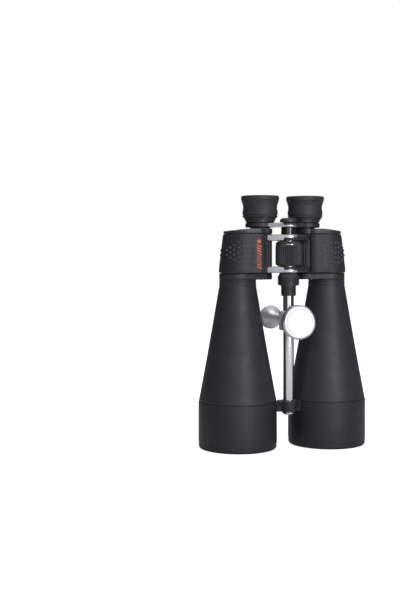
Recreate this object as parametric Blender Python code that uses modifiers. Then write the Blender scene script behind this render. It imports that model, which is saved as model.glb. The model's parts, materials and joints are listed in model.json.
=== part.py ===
"""Large porro-prism astronomy binoculars, built from separate closed pieces, in metres with +Z up.

The binoculars stand on their objective rims. Every piece is modelled about the hinge, at x = 0 and
y = 0 of an empty, with the focus wheel and the clamp knob on the -Y side and the barrels towards +Y.
The empty moves the hinge forward, so that the origin is the middle of the underside of the whole
object. "Away" is the distance from the hinge's plane of symmetry towards a barrel: a side of -1 is
the left half, +1 the right half.
"""

from math import cos, pi, radians, sin, tan

import bmesh
import bpy
from mathutils import Matrix, Vector, geometry

GAP = 0.0003  # between pieces that touch or run in each other
HINGE_Y = -0.015875  # the hinge axis in the object's own frame

# Objective barrels
OBJECTIVE = Vector((0.06195, 0.0231))  # axis of a barrel, from the hinge axis
BARREL_R = 0.05115
SLEEVE_TOP = 0.0605
CONE_LOW = 0.0618
CONE_LOW_R = 0.0505
CONE_HIGH = 0.2100
NECK_R = 0.02415
NECK_TOP = 0.2183
RUBBER = 0.0018  # thickness of the rubber armour
TUBE_WALL = 0.0016
LENS_R = 0.0400
LENS_Z = 0.0120  # the lowest point of the objective lens's edge

# Prism housings
PLATE_LOW = 0.2186
PLATE_HIGH = 0.2266
HOUSING_LOW = 0.2269
HOUSING_HIGH = 0.2780
COVER_LOW = 0.2783
COVER_HIGH = 0.2850
COVER_SLOPE = radians(6.5)
COVER_CREASE = 0.0485  # away, where the cover starts to slope down
HOUSING_WALL = 0.0018
HOUSING_INNER = 0.0157  # away, the crown of the housing's rounded side towards the hinge
ARMOUR_INNER = 0.0300  # away, where the armour starts
HOUSING_OUTER = (0.0860, 0.0800)  # away, the armour's outer side at the bottom and at the top
HOUSING_FRONT = (-0.0060, -0.0052)
HOUSING_BACK = (0.0520, 0.0512)
CORNER_R = 0.0260
SHOULDER = 0.0050  # width and depth of the slope at the front, beside the hinge
SHOULDER_R = 0.0140
LIGHT_R = 0.0190  # the spigot that joins a barrel to its housing

# Porro prisms
PRISM_HALF_LENGTH = 0.0200
PRISM_HALF_WIDTH = 0.0075
PRISM_HEIGHT = 0.0200
LOWER_PRISM_Z = 0.2282
SHELF_LOW = 0.2485
SHELF_HIGH = 0.2500
UPPER_PRISM_Z = 0.2503
CAVITY = ((0.0210, -0.0015), (0.0760, 0.0472))  # the prisms' corners are cut off outside this

# Hinge
SHAFT_R = 0.0110
KNUCKLE_R = 0.0140
ARM_FINISH = {"left": "satin_metal", "right": "black_metal"}  # of the lugs and bridge arms
LOWER_LUG = (0.2274, 0.2356)
UPPER_LUG = (0.2690, 0.2771)
ROD_R = 0.0070
ROD = (0.0475, 0.2268)
COLLAR_R = (0.0100, 0.0143)
COLLAR_Z = (0.1975, 0.2110, 0.2271)
BRACE_Z = (0.0474, 0.0619)
BRACE_RING_R = 0.0115
BRACE_REACH = 0.0205  # from the rod to the middle of an arm's far end
END_CAP_R = 0.0081
END_CAP_LOW = 0.0428

# Focusing
WHEEL_Z = (0.2360, 0.2686)
WHEEL_R = 0.0169
WHEEL_CORE_R = 0.0142
WHEEL_RIBS = 36
SPINDLE_R = 0.0095
SPINDLE_PIN_R = 0.0070
SPINDLE_LOW = 0.2560
BRIDGE_Z = (0.2867, 0.2924)
BRIDGE_KNUCKLE_R = 0.0118
CAP_R = 0.0112
CAP_HIGH = 0.2988

# Eyepieces
EYEPIECE = Vector((0.0314, 0.0226))  # axis of an eyepiece, from the hinge axis
OCULAR_R = 0.0130
OCULAR_BORE_R = 0.0118
OCULAR_Z = (0.2680, 0.2941)
BRIDGE_RING_R = 0.0193
CELL_R = 0.0143  # the eye cell above the ocular tube
CELL_Z = (0.2850, 0.2956, 0.3115)
CUP_BASE_Z = (0.2956, 0.2990)
CUP_TOP = 0.3280

# Tripod adapter
ADAPTER_Z = 0.1655
CLAMP_R = 0.0125
CLAMP_HALF_HEIGHT = 0.0125
BUSH_R = 0.0083
BUSH_HALF_HEIGHT = 0.0115
BOSS_R = 0.0085
BOSS_FRONT = -0.0215
BOSS_BACK = 0.0150
POST_R = 0.0070
FOOT_R = 0.0160
FOOT_BACK = 0.0740
FOOT_EDGE = 0.0035
SOCKET_R = 0.003175  # a quarter-inch tripod thread
INSERT_R = 0.0050
SOCKET_DEPTH = 0.0120
KNOB_R = 0.0219
KNOB_Y = (-0.0425, -0.0325)
KNOB_HUB_R = 0.0090
SCREW_R = 0.0030

FINE = 28  # sides of a barrel
SMALL = 20  # sides of an eyepiece and of the hinge's pieces
TINY = 12
INNER_STEPS = 10  # of a housing's rounded side

COLOURS = {
    "rubber": ((0.022, 0.023, 0.025), 0.62, 0.0),
    "soft_rubber": ((0.030, 0.030, 0.032), 0.70, 0.0),
    "black_metal": ((0.020, 0.020, 0.022), 0.35, 0.6),
    "satin_metal": ((0.620, 0.620, 0.640), 0.32, 1.0),
    "chrome": ((0.800, 0.800, 0.820), 0.10, 1.0),
    "steel": ((0.500, 0.500, 0.520), 0.30, 1.0),
    "gloss_black": ((0.012, 0.012, 0.013), 0.15, 0.0),
    "plastic": ((0.025, 0.025, 0.027), 0.45, 0.0),
    "lens": ((0.350, 0.250, 0.420), 0.03, 0.0),
    "prism_glass": ((0.800, 0.850, 0.850), 0.05, 0.0),
    "brass": ((0.650, 0.500, 0.250), 0.30, 1.0),
}


def clear_scene():
    for old in list(bpy.data.objects):
        bpy.data.objects.remove(old, do_unlink=True)


def new_collection(name):
    collection = bpy.data.collections.new(name)
    bpy.context.scene.collection.children.link(collection)
    return collection


def finish_for(name, slot):
    """A material of its own for one piece."""
    colour, roughness, metallic = COLOURS[slot]
    material = bpy.data.materials.new(name + "_" + slot)
    material.use_nodes = True
    shader = material.node_tree.nodes["Principled BSDF"]
    shader.inputs["Base Color"].default_value = (*colour, 1.0)
    shader.inputs["Roughness"].default_value = roughness
    shader.inputs["Metallic"].default_value = metallic
    material.diffuse_color = (*colour, 1.0)
    return material


def place(name, mesh, slot, parent, location=(0.0, 0.0, 0.0)):
    """Links a mesh as the node called name, with its own material, under an empty."""
    piece = bpy.data.objects.new(name, mesh)
    PARTS.objects.link(piece)
    piece.data.materials.append(finish_for(name, slot))
    piece.parent = parent
    piece.location = location
    return piece


def empty_at(name, location, parent=None):
    marker = bpy.data.objects.new(name, None)
    PARTS.objects.link(marker)
    marker.parent = parent
    marker.location = location
    return marker


def signed_area(points):
    following = points[1:] + points[:1]
    return sum(a[0] * b[1] - b[0] * a[1] for a, b in zip(points, following)) / 2


def turned_mesh(name, profile):
    """A chain of (radius, height) points, closed unless it starts and ends on the axis."""
    if signed_area(profile) > 0:
        profile = profile[::-1]
    count = len(profile)
    edges = [(i, i + 1) for i in range(count - 1)]
    if min(radius for radius, _ in profile) > 0:
        edges.append((count - 1, 0))
    mesh = bpy.data.meshes.new(name)
    mesh.from_pydata([(radius, 0.0, height) for radius, height in profile], edges, [])
    return mesh


def turn(piece, sides):
    screw = piece.modifiers.new("turned", "SCREW")
    screw.angle = 2 * pi
    screw.steps = sides
    screw.render_steps = sides
    screw.use_merge_vertices = True
    screw.merge_threshold = 0.00001
    screw.use_smooth_shade = False
    return piece


def turned(name, profile, slot, parent, sides=SMALL, centre=(0.0, 0.0, 0.0)):
    """A piece turned about a vertical axis through centre."""
    return turn(place(name, turned_mesh(name, profile), slot, parent, centre), sides)


def ring_profile(inner, outer, low, high, edge=0.0):
    """The section of a plain ring, with its outer edges broken by a chamfer."""
    if edge == 0.0:
        return [(outer, high), (outer, low), (inner, low), (inner, high)]
    return [
        (outer - edge, high),
        (outer, high - edge),
        (outer, low + edge),
        (outer - edge, low),
        (inner, low),
        (inner, high),
    ]


def disc_profile(radius, low, high, edge):
    return [
        (0.0, high),
        (radius - edge, high),
        (radius, high - edge),
        (radius, low + edge),
        (radius - edge, low),
        (0.0, low),
    ]


def clean(mesh, weld=0.000001):
    """Welds a mesh's loose caps and turns its faces outwards."""
    work = bmesh.new()
    work.from_mesh(mesh)
    bmesh.ops.remove_doubles(work, verts=work.verts, dist=weld)
    bmesh.ops.recalc_face_normals(work, faces=work.faces)
    work.to_mesh(mesh)
    work.free()
    return mesh


def plate_mesh(name, outlines, low, high):
    """A flat plate between two heights. The first outline is its edge and the others are holes."""
    curve = bpy.data.curves.new(name, "CURVE")
    curve.dimensions = "2D"
    curve.fill_mode = "BOTH"
    curve.extrude = (high - low) / 2
    for outline in outlines:
        spline = curve.splines.new("POLY")
        spline.points.add(len(outline) - 1)
        for point, (x, y) in zip(spline.points, outline):
            point.co = (x, y, 0.0, 1.0)
        spline.use_cyclic_u = True
    guide = bpy.data.objects.new(name + "_outline", curve)
    bpy.context.scene.collection.objects.link(guide)
    evaluated = guide.evaluated_get(bpy.context.evaluated_depsgraph_get())
    mesh = bpy.data.meshes.new_from_object(evaluated)
    bpy.data.objects.remove(guide, do_unlink=True)
    mesh.transform(Matrix.Translation((0.0, 0.0, (low + high) / 2)))
    mesh.materials.clear()
    mesh.name = name
    return clean(mesh)


def plate(name, outlines, low, high, slot, parent):
    return place(name, plate_mesh(name, outlines, low, high), slot, parent)


def circle(centre, radius, count=SMALL, start=0.0):
    turns = [start + 2 * pi * i / count for i in range(count)]
    return [(centre[0] + radius * cos(a), centre[1] + radius * sin(a)) for a in turns]


def hull(*circles, count=SMALL):
    """The outline of a band stretched round circles of (x, y, radius)."""
    points = [p for x, y, radius in circles for p in circle((x, y), radius, count)]
    return [points[i] for i in geometry.convex_hull_2d(points)]


def rounded(corners, closed=True, steps=6):
    """A path through (x, y, radius) corners, each turned into an arc of a few steps."""
    path = []
    last = len(corners) - 1
    for i, (x, y, radius) in enumerate(corners):
        corner = Vector((x, y))
        if radius == 0.0 or (not closed and i in (0, last)):
            path.append((x, y))
            continue
        before = (Vector(corners[i - 1][:2]) - corner).normalized()
        after = (Vector(corners[(i + 1) % len(corners)][:2]) - corner).normalized()
        half = before.angle(after) / 2
        centre = corner + (before + after).normalized() * (radius / sin(half))
        start = corner + before * (radius / tan(half)) - centre
        end = corner + after * (radius / tan(half)) - centre
        sweep = start.angle_signed(end)
        for step in range(steps + 1):
            turn_by = Matrix.Rotation(-sweep * step / steps, 2)
            path.append(tuple(centre + turn_by @ start))
    return path


def loft_mesh(name, rings, joined=False):
    """Skins over rings of points. Joined, the last ring meets the first; otherwise both ends are capped."""
    work = bmesh.new()
    rows = [[work.verts.new(point) for point in ring] for ring in rings]
    pairs = list(zip(rows, rows[1:]))
    if joined:
        pairs.append((rows[-1], rows[0]))
    else:
        work.faces.new(rows[0])
        work.faces.new(rows[-1][::-1])
    for low, high in pairs:
        for i in range(len(low)):
            k = (i + 1) % len(low)
            work.faces.new((low[i], low[k], high[k], high[i]))
    mesh = bpy.data.meshes.new(name)
    work.to_mesh(mesh)
    work.free()
    return clean(mesh)


def cutter(name, mesh, parent):
    tool = bpy.data.objects.new(name, mesh)
    CUTTERS.objects.link(tool)
    tool.parent = parent
    tool.hide_render = True
    tool.display_type = "WIRE"
    return tool


def turned_cutter(name, profile, parent, sides=SMALL):
    return turn(cutter(name, turned_mesh(name, profile), parent), sides)


def combine(piece, tool, operation="DIFFERENCE"):
    boolean = piece.modifiers.new(tool.name, "BOOLEAN")
    boolean.operation = operation
    boolean.solver = "EXACT"
    boolean.object = tool
    return piece


def on_side(side, outline):
    return [(side * x, y) for x, y in outline]


# ---------------------------------------------------------------- objective barrels


def cone_radius(height):
    share = (height - CONE_LOW) / (CONE_HIGH - CONE_LOW)
    return CONE_LOW_R + share * (NECK_R - CONE_LOW_R)


def barrel(side, label, parent):
    centre = (side * OBJECTIVE.x, OBJECTIVE.y, 0.0)
    inset = RUBBER + GAP
    bottom_r = BARREL_R - inset
    tube_low = 0.0030
    waist = 0.0665  # the tube follows the cone from just above the seam
    outer = [
        (LIGHT_R, 0.2245),
        (LIGHT_R, 0.2180),
        (NECK_R - inset, 0.2180),
        (NECK_R - inset, CONE_HIGH),
        (cone_radius(waist) - inset, waist),
        (bottom_r, SLEEVE_TOP - 0.0040),
        (bottom_r, tube_low),
    ]
    inner = [
        (bottom_r - TUBE_WALL, tube_low),
        (bottom_r - TUBE_WALL, SLEEVE_TOP - 0.0040),
        (cone_radius(waist) - inset - TUBE_WALL, waist),
        (LIGHT_R - TUBE_WALL, CONE_HIGH),
        (LIGHT_R - TUBE_WALL, 0.2245),
    ]
    turned(label + "_objective_tube", outer + inner, "black_metal", parent, FINE, centre)

    armour = [
        (NECK_R, NECK_TOP),
        (NECK_R, CONE_HIGH + 0.0015),
        (NECK_R + 0.0010, CONE_HIGH - 0.0040),
        (cone_radius(0.1400) - 0.0004, 0.1400),
        (CONE_LOW_R, CONE_LOW + 0.0010),
        (CONE_LOW_R - 0.0006, CONE_LOW),
        (bottom_r + GAP, CONE_LOW),
        (cone_radius(waist) - RUBBER, waist),
        (NECK_R - RUBBER, CONE_HIGH),
        (NECK_R - RUBBER, NECK_TOP),
    ]
    turned(label + "_barrel_armour", armour, "rubber", parent, FINE, centre)

    lip_r = bottom_r - TUBE_WALL + 0.0006
    sleeve = [
        (BARREL_R - 0.0008, SLEEVE_TOP),
        (BARREL_R, SLEEVE_TOP - 0.0010),
        (BARREL_R, 0.0022),
        (BARREL_R - 0.0016, 0.0000),
        (lip_r, 0.0000),
        (lip_r, tube_low - GAP),
        (bottom_r + GAP, tube_low - GAP),
        (bottom_r + GAP, SLEEVE_TOP),
    ]
    turned(label + "_objective_sleeve", sleeve, "rubber", parent, FINE, centre)

    hold_r = bottom_r - TUBE_WALL - GAP
    lip_low, cell_top = 0.0070, 0.0262
    cell = [
        (hold_r, cell_top),
        (hold_r, lip_low),
        (LENS_R - 0.0012, lip_low),
        (LENS_R - 0.0012, LENS_Z - GAP),
        (LENS_R + GAP, LENS_Z - GAP),
        (LENS_R + GAP, cell_top),
    ]
    turned(label + "_lens_cell", cell, "black_metal", parent, FINE, centre)

    crown_low = [(0.0, LENS_Z - 0.0035), (LENS_R * 0.55, LENS_Z - 0.0024)]
    edge_z = LENS_Z + 0.0040
    crown = [(0.0, edge_z + 0.0030), (LENS_R * 0.55, edge_z + 0.0021), (LENS_R, edge_z)]
    crown = crown + [(LENS_R, LENS_Z)] + crown_low[::-1]
    flint = [
        (0.0, edge_z + 0.0090),
        (LENS_R, edge_z + 0.0090),
        (LENS_R, edge_z + GAP),
        (LENS_R * 0.55, edge_z + 0.0021 + GAP),
        (0.0, edge_z + 0.0030 + GAP),
    ]
    turned(label + "_crown_lens", crown, "lens", parent, FINE, centre)
    turned(label + "_flint_lens", flint, "lens", parent, FINE, centre)


# ---------------------------------------------------------------- prism housings


def housing_path(level, inset, start):
    """The way round a housing from the front to the back, at the bottom (0) or the top (1)."""
    outer = HOUSING_OUTER[level] - inset
    front = HOUSING_FRONT[level] + inset
    back = HOUSING_BACK[level] - inset
    radius = CORNER_R - inset
    slope = SHOULDER + inset * tan(pi / 8)
    corners = [
        (start, front + slope, 0.0),
        (start + slope, front, SHOULDER_R - inset),
        (outer, front, radius),
        (outer, back, radius),
        (start, back, 0.0),
    ]
    return rounded(corners, closed=False)


def housing_outline(level, inset, inner):
    """A housing's whole outline, closed by half an ellipse on the side towards the hinge."""
    path = housing_path(level, inset, ARMOUR_INNER)
    front, back = path[0][1], path[-1][1]
    middle, depth = (front + back) / 2, (back - front) / 2
    crown = ARMOUR_INNER - inner
    arc = [pi * i / INNER_STEPS for i in range(1, INNER_STEPS)]
    return path + [(ARMOUR_INNER - crown * sin(a), middle + depth * cos(a)) for a in arc]


def at_height(side, outline, height):
    return [(side * x, y, height) for x, y in outline]


def housing(side, label, parent):
    under_rubber = RUBBER + GAP
    hollow = under_rubber + HOUSING_WALL
    levels = ((0, HOUSING_LOW), (1, HOUSING_HIGH))
    outer = [at_height(side, housing_outline(i, under_rubber, HOUSING_INNER), z) for i, z in levels]
    inside = HOUSING_INNER + HOUSING_WALL
    inner = [at_height(side, housing_outline(i, hollow, inside), z) for i, z in levels]
    body = loft_mesh(label + "_prism_housing", outer + inner[::-1], joined=True)
    place(label + "_prism_housing", body, "black_metal", parent)

    skins = [housing_path(level, 0.0, ARMOUR_INNER) for level in (0, 1)]
    backs = [housing_path(level, RUBBER, ARMOUR_INNER) for level in (0, 1)]
    low, high = HOUSING_LOW + 0.0004, HOUSING_HIGH
    sections = []
    for low_skin, high_skin, high_back, low_back in zip(skins[0], skins[1], backs[1], backs[0]):
        corners = ((low_skin, low), (high_skin, high), (high_back, high), (low_back, low))
        sections.append([(side * x, y, z) for (x, y), z in corners])
    armour = loft_mesh(label + "_housing_armour", sections)
    place(label + "_housing_armour", armour, "rubber", parent)

    axis = (side * OBJECTIVE.x, OBJECTIVE.y)
    inner_r = 0.0180
    flange = hull(
        (OBJECTIVE.x, OBJECTIVE.y, NECK_R), (HOUSING_INNER + inner_r, EYEPIECE.y, inner_r), count=FINE
    )
    hole = circle(axis, LIGHT_R + GAP, FINE)
    outlines = [on_side(side, flange), hole]
    plate(label + "_bottom_plate", outlines, PLATE_LOW, PLATE_HIGH, "black_metal", parent)


def slice_off(mesh, planes):
    """Cuts off what lies beyond each (point, outward normal) plane, and closes the cuts."""
    work = bmesh.new()
    work.from_mesh(mesh)
    for point, normal in planes:
        parts = work.verts[:] + work.edges[:] + work.faces[:]
        bmesh.ops.bisect_plane(work, geom=parts, plane_co=point, plane_no=normal, clear_outer=True)
        rim = [edge for edge in work.edges if edge.is_boundary]
        if rim:
            bmesh.ops.holes_fill(work, edges=rim)
    bmesh.ops.recalc_face_normals(work, faces=work.faces)
    work.to_mesh(mesh)
    work.free()
    return mesh


def cover(side, label, parent):
    """The cover on a housing, with the eyepiece's hole and an outer half that slopes down."""
    edge = housing_outline(1, 0.0003, HOUSING_INNER)
    hole = circle((side * EYEPIECE.x, EYEPIECE.y), OCULAR_R + GAP)
    mesh = plate_mesh(label + "_top_plate", [on_side(side, edge), hole], COVER_LOW, COVER_HIGH)
    crease = (side * COVER_CREASE, OBJECTIVE.y, COVER_HIGH)
    slope = (side * sin(COVER_SLOPE), 0.0, cos(COVER_SLOPE))
    place(label + "_top_plate", slice_off(mesh, [(crease, slope)]), "plastic", parent)


def prism_mesh(name, centre, along, base, height):
    """A right-angle prism lying along a direction: its long face at base, its edge at base + height."""
    across = Vector((-along.y, along.x))
    rings = []
    for width in (-PRISM_HALF_WIDTH, PRISM_HALF_WIDTH):
        middle = centre + across * width
        ends = [middle - along * PRISM_HALF_LENGTH, middle + along * PRISM_HALF_LENGTH]
        ring = [(ends[0].x, ends[0].y, base), (ends[1].x, ends[1].y, base)]
        rings.append(ring + [(middle.x, middle.y, base + height)])
    return loft_mesh(name, rings)


def cavity_sides(side):
    """The planes that the prisms' corners stay inside."""
    low, high = CAVITY
    return (
        ((side * low[0], 0.0, 0.0), (-side, 0.0, 0.0)),
        ((side * high[0], 0.0, 0.0), (side, 0.0, 0.0)),
        ((0.0, low[1], 0.0), (0.0, -1.0, 0.0)),
        ((0.0, high[1], 0.0), (0.0, 1.0, 0.0)),
    )


def prisms(side, label, parent):
    """Two prisms crossed at right angles, which carry the light from the barrel to the eyepiece."""
    turn_y = (OBJECTIVE.x - EYEPIECE.x) / 2
    between = Vector(((OBJECTIVE.x + EYEPIECE.x) / 2, OBJECTIVE.y + turn_y))
    upper = (OBJECTIVE + between) / 2
    lower = (between + EYEPIECE) / 2
    diagonal = Vector((-1.0, 1.0)).normalized()
    flip = Vector((side, 1.0))
    settings = (
        ("upper", upper, diagonal, UPPER_PRISM_Z, PRISM_HEIGHT),
        ("lower", lower, Vector((1.0, 1.0)).normalized(), LOWER_PRISM_Z + PRISM_HEIGHT, -PRISM_HEIGHT),
    )
    for word, centre, along, base, height in settings:
        name = label + "_" + word + "_prism"
        mesh = prism_mesh(name, centre * flip, along * flip, base, height)
        place(name, slice_off(mesh, cavity_sides(side)), "prism_glass", parent)

    hollow = RUBBER + HOUSING_WALL + 3 * GAP
    edge = housing_outline(1, hollow + 0.0012, HOUSING_INNER + HOUSING_WALL + 2 * GAP)
    lit = (OBJECTIVE - Vector((0.0040, 0.0)), between, EYEPIECE)
    windows = [circle(centre * flip, 0.0068, TINY) for centre in lit]
    shelf = [on_side(side, edge)] + windows
    plate(label + "_prism_shelf", shelf, SHELF_LOW, SHELF_HIGH, "black_metal", parent)


# ---------------------------------------------------------------- hinge


def knuckle_slot(name, low, high, radius, parent):
    """Room for the other half's knuckle."""
    profile = disc_profile(radius + 0.0005, low, high, 0.0)
    return turned_cutter(name, [p for i, p in enumerate(profile) if i in (0, 1, 3, 5)], parent, FINE)


def lug_outline():
    """From the knuckle to the housing's side, with a web that covers the bare strip beside the armour."""
    web = 0.0008
    return hull(
        (0.0, 0.0, KNUCKLE_R),
        (0.0165, 0.0130, 0.0020),
        (ARMOUR_INNER - GAP - web, HOUSING_FRONT[0] + SHOULDER + web, web),
    )


def lugs(side, label, parent):
    """Two lugs: the left half's knuckles are the outer pair and the right half's the inner pair."""
    outline = on_side(side, lug_outline())
    hole = circle((0.0, 0.0), SHAFT_R + GAP)
    finish = ARM_FINISH[label]
    room = on_side(side, housing_outline(0, RUBBER, HOUSING_INNER - GAP))
    for word, (low, high) in (("lower", LOWER_LUG), ("upper", UPPER_LUG)):
        name = f"{label}_{word}_lug"
        piece = plate(name, [outline, hole], low, high, finish, parent)
        middle = (low + high) / 2
        keeps_low = (side < 0) == (word == "lower")
        slot = (middle - GAP / 2, high + GAP) if keeps_low else (low - GAP, middle + GAP / 2)
        combine(piece, knuckle_slot(name + "_slot", *slot, KNUCKLE_R, parent))
        mesh = plate_mesh(name + "_room", [room], low - GAP, high + GAP)
        combine(piece, cutter(name + "_room", mesh, parent))


def brace(side, label, parent):
    """The arm that joins a barrel's lower end to the rod, with a knuckle round the rod."""
    name = label + "_brace_arm"
    low, high = BRACE_Z
    reach = OBJECTIVE.normalized() * BRACE_REACH
    outline = on_side(side, hull((0.0, 0.0, BRACE_RING_R), (reach.x, reach.y, 0.0050)))
    hole = circle((0.0, 0.0), ROD_R + GAP)
    piece = plate(name, [outline, hole], low, high, "plastic", parent)
    middle = (low + high) / 2
    slot = (low - GAP, middle + GAP / 2) if side < 0 else (middle - GAP / 2, high + GAP)
    combine(piece, knuckle_slot(label + "_brace_slot", *slot, BRACE_RING_R, parent))
    room_r = BARREL_R + GAP
    room = [(0.0, high + 0.010), (room_r, high + 0.010), (room_r, low - 0.010), (0.0, low - 0.010)]
    tool = turned_cutter(label + "_barrel_room", room, parent, FINE)
    tool.location = (side * OBJECTIVE.x, OBJECTIVE.y, 0.0)
    combine(piece, tool)


def column(parent):
    well = SPINDLE_LOW - 0.0060
    shaft = [
        (0.0, well),
        (SPINDLE_R + GAP, well),
        (SPINDLE_R + GAP, UPPER_LUG[1]),
        (SHAFT_R, UPPER_LUG[1]),
        (SHAFT_R, COLLAR_Z[2] + GAP),
        (0.0, COLLAR_Z[2] + GAP),
    ]
    turned("hinge_shaft", shaft, "steel", parent, FINE)
    turned("rod", disc_profile(ROD_R, *ROD, 0.0), "chrome", parent)
    bore = ROD_R + GAP
    low, middle, high = COLLAR_Z
    collar = [
        (COLLAR_R[1] - 0.0030, high),
        (COLLAR_R[1], high - 0.0050),
        (COLLAR_R[1], middle + 0.0010),
        (COLLAR_R[1] - 0.0010, middle),
        (COLLAR_R[0], middle),
        (COLLAR_R[0], low),
        (bore, low),
        (bore, high),
    ]
    turned("hinge_collar", collar, "plastic", parent)
    height = 0.0030
    bends = [pi / 2 * i / 3 for i in (3, 2, 1)]
    dome = [(END_CAP_R * sin(a), END_CAP_LOW + height * (1 - cos(a))) for a in bends]
    cap = [(0.0, BRACE_Z[0] - 2 * GAP), (END_CAP_R, BRACE_Z[0] - 2 * GAP)]
    turned("rod_end_cap", cap + dome + [(0.0, END_CAP_LOW)], "chrome", parent)


def focus_wheel(parent):
    core = ring_profile(SHAFT_R + GAP, WHEEL_CORE_R, *WHEEL_Z)
    turned("wheel_core", core, "black_metal", parent)
    ribs = []
    for i in range(WHEEL_RIBS * 2):
        radius = WHEEL_R - (0.0007 if i % 2 else 0.0)
        angle = pi * i / WHEEL_RIBS
        ribs.append((radius * cos(angle), radius * sin(angle)))
    hole = circle((0.0, 0.0), WHEEL_CORE_R + GAP)
    plate("wheel_grip", [ribs, hole], WHEEL_Z[0] + 0.0008, WHEEL_Z[1] - 0.0008, "soft_rubber", parent)


def spindle(parent):
    pin_top = BRIDGE_Z[1] + GAP
    rod = [
        (0.0, pin_top),
        (SPINDLE_PIN_R, pin_top),
        (SPINDLE_PIN_R, BRIDGE_Z[0] - GAP),
        (SPINDLE_R, BRIDGE_Z[0] - GAP),
        (SPINDLE_R, SPINDLE_LOW),
        (0.0, SPINDLE_LOW),
    ]
    turned("focus_spindle", rod, "gloss_black", parent)
    low = pin_top + GAP
    cap = [
        (0.0, CAP_HIGH),
        (CAP_R * 0.62, CAP_HIGH - 0.0006),
        (CAP_R * 0.94, CAP_HIGH - 0.0022),
        (CAP_R, CAP_HIGH - 0.0040),
        (CAP_R, low),
        (0.0, low),
    ]
    turned("bridge_cap", cap, "plastic", parent)


# ---------------------------------------------------------------- eyepieces


def bridge_arm(side, label, parent):
    name = label + "_bridge_arm"
    low, high = BRIDGE_Z
    axis = (side * EYEPIECE.x, EYEPIECE.y)
    shape = hull((0.0, 0.0, BRIDGE_KNUCKLE_R), (0.0168, 0.0064, 0.0060), (0.0260, 0.0060, 0.0025))
    outline = on_side(side, shape)
    hole = circle((0.0, 0.0), SPINDLE_PIN_R + GAP)
    piece = plate(name, [outline, hole], low, high, ARM_FINISH[label], parent)
    eye = plate_mesh(label + "_bridge_eye", [circle(axis, BRIDGE_RING_R)], low, high)
    combine(piece, cutter(label + "_bridge_eye", eye, parent), "UNION")
    bore = plate_mesh(label + "_bridge_bore", [circle(axis, OCULAR_R + GAP)], low - 0.001, high + 0.001)
    combine(piece, cutter(label + "_bridge_bore", bore, parent))
    middle = (low + high) / 2
    slot = (middle - GAP / 2, high + GAP) if side < 0 else (low - GAP, middle + GAP / 2)
    combine(piece, knuckle_slot(label + "_bridge_slot", *slot, BRIDGE_KNUCKLE_R, parent))


CUP_OUTLINE = (  # height and radius of the rubber eyecup's outer side, from the bottom up
    (0.2993, 0.0216),
    (0.3025, 0.0230),
    (0.3070, 0.0231),
    (0.3110, 0.0223),
    (0.3150, 0.0224),
    (0.3190, 0.0236),
    (0.3225, 0.0251),
    (0.3268, 0.0250),
)


def eyepiece(label, parent, cell_parent, ring_parent):
    """An eyepiece: the fixed tube in the bridge, the lens cell in it, and the ring and cup round that."""
    low, high = OCULAR_Z
    shoulder = BRIDGE_Z[1] + GAP
    tube = [
        (BRIDGE_RING_R, high),
        (BRIDGE_RING_R, shoulder),
        (OCULAR_R, shoulder),
        (OCULAR_R, low),
        (OCULAR_BORE_R, low),
        (OCULAR_BORE_R, high),
    ]
    turned(label + "_ocular_tube", tube, "black_metal", parent)
    glass_r = OCULAR_BORE_R - GAP
    field = [(0.0, 0.2745), (glass_r, 0.2735), (glass_r, 0.2705), (0.0, 0.2690)]
    turned(label + "_field_lens", field, "lens", parent)
    wall = 0.0016
    foot, shelf, top = CELL_Z
    cell = [
        (CELL_R, top),
        (CELL_R, shelf),
        (glass_r, shelf),
        (glass_r, foot),
        (glass_r - wall, foot),
        (glass_r - wall, shelf + wall),
        (CELL_R - wall, shelf + wall),
        (CELL_R - wall, top),
    ]
    turned(label + "_eye_cell", cell, "black_metal", cell_parent)
    eye_r = CELL_R - wall - GAP
    eye = [(0.0, 0.3098), (eye_r * 0.6, 0.3092), (eye_r, 0.3080), (eye_r, 0.3050), (0.0, 0.3045)]
    turned(label + "_eye_lens", eye, "lens", cell_parent)
    base_low, base_high = CUP_BASE_Z
    base = [
        (0.0213, base_high),
        (0.0188, base_low),
        (CELL_R + GAP, base_low),
        (CELL_R + GAP, base_high),
    ]
    turned(label + "_eyecup_base", base, "plastic", ring_parent)
    cup = [(radius, height) for height, radius in CUP_OUTLINE]
    cup += [
        (0.0242, CUP_TOP),
        (0.0222, CUP_TOP),
        (0.0196, 0.3200),
        (0.0180, 0.3130),
        (CELL_R + GAP, 0.3122),
        (CELL_R + GAP, CUP_OUTLINE[0][0]),
    ]
    turned(label + "_eyecup", cup, "soft_rubber", ring_parent)


# ---------------------------------------------------------------- tripod adapter


def lying(name, profile, slot, parent, sides=SMALL):
    """A piece turned about the Y axis: the profile's heights are its places along Y."""
    piece = turned(name, profile, slot, parent, sides)
    piece.rotation_euler = (-pi / 2, 0.0, 0.0)
    return piece


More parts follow.
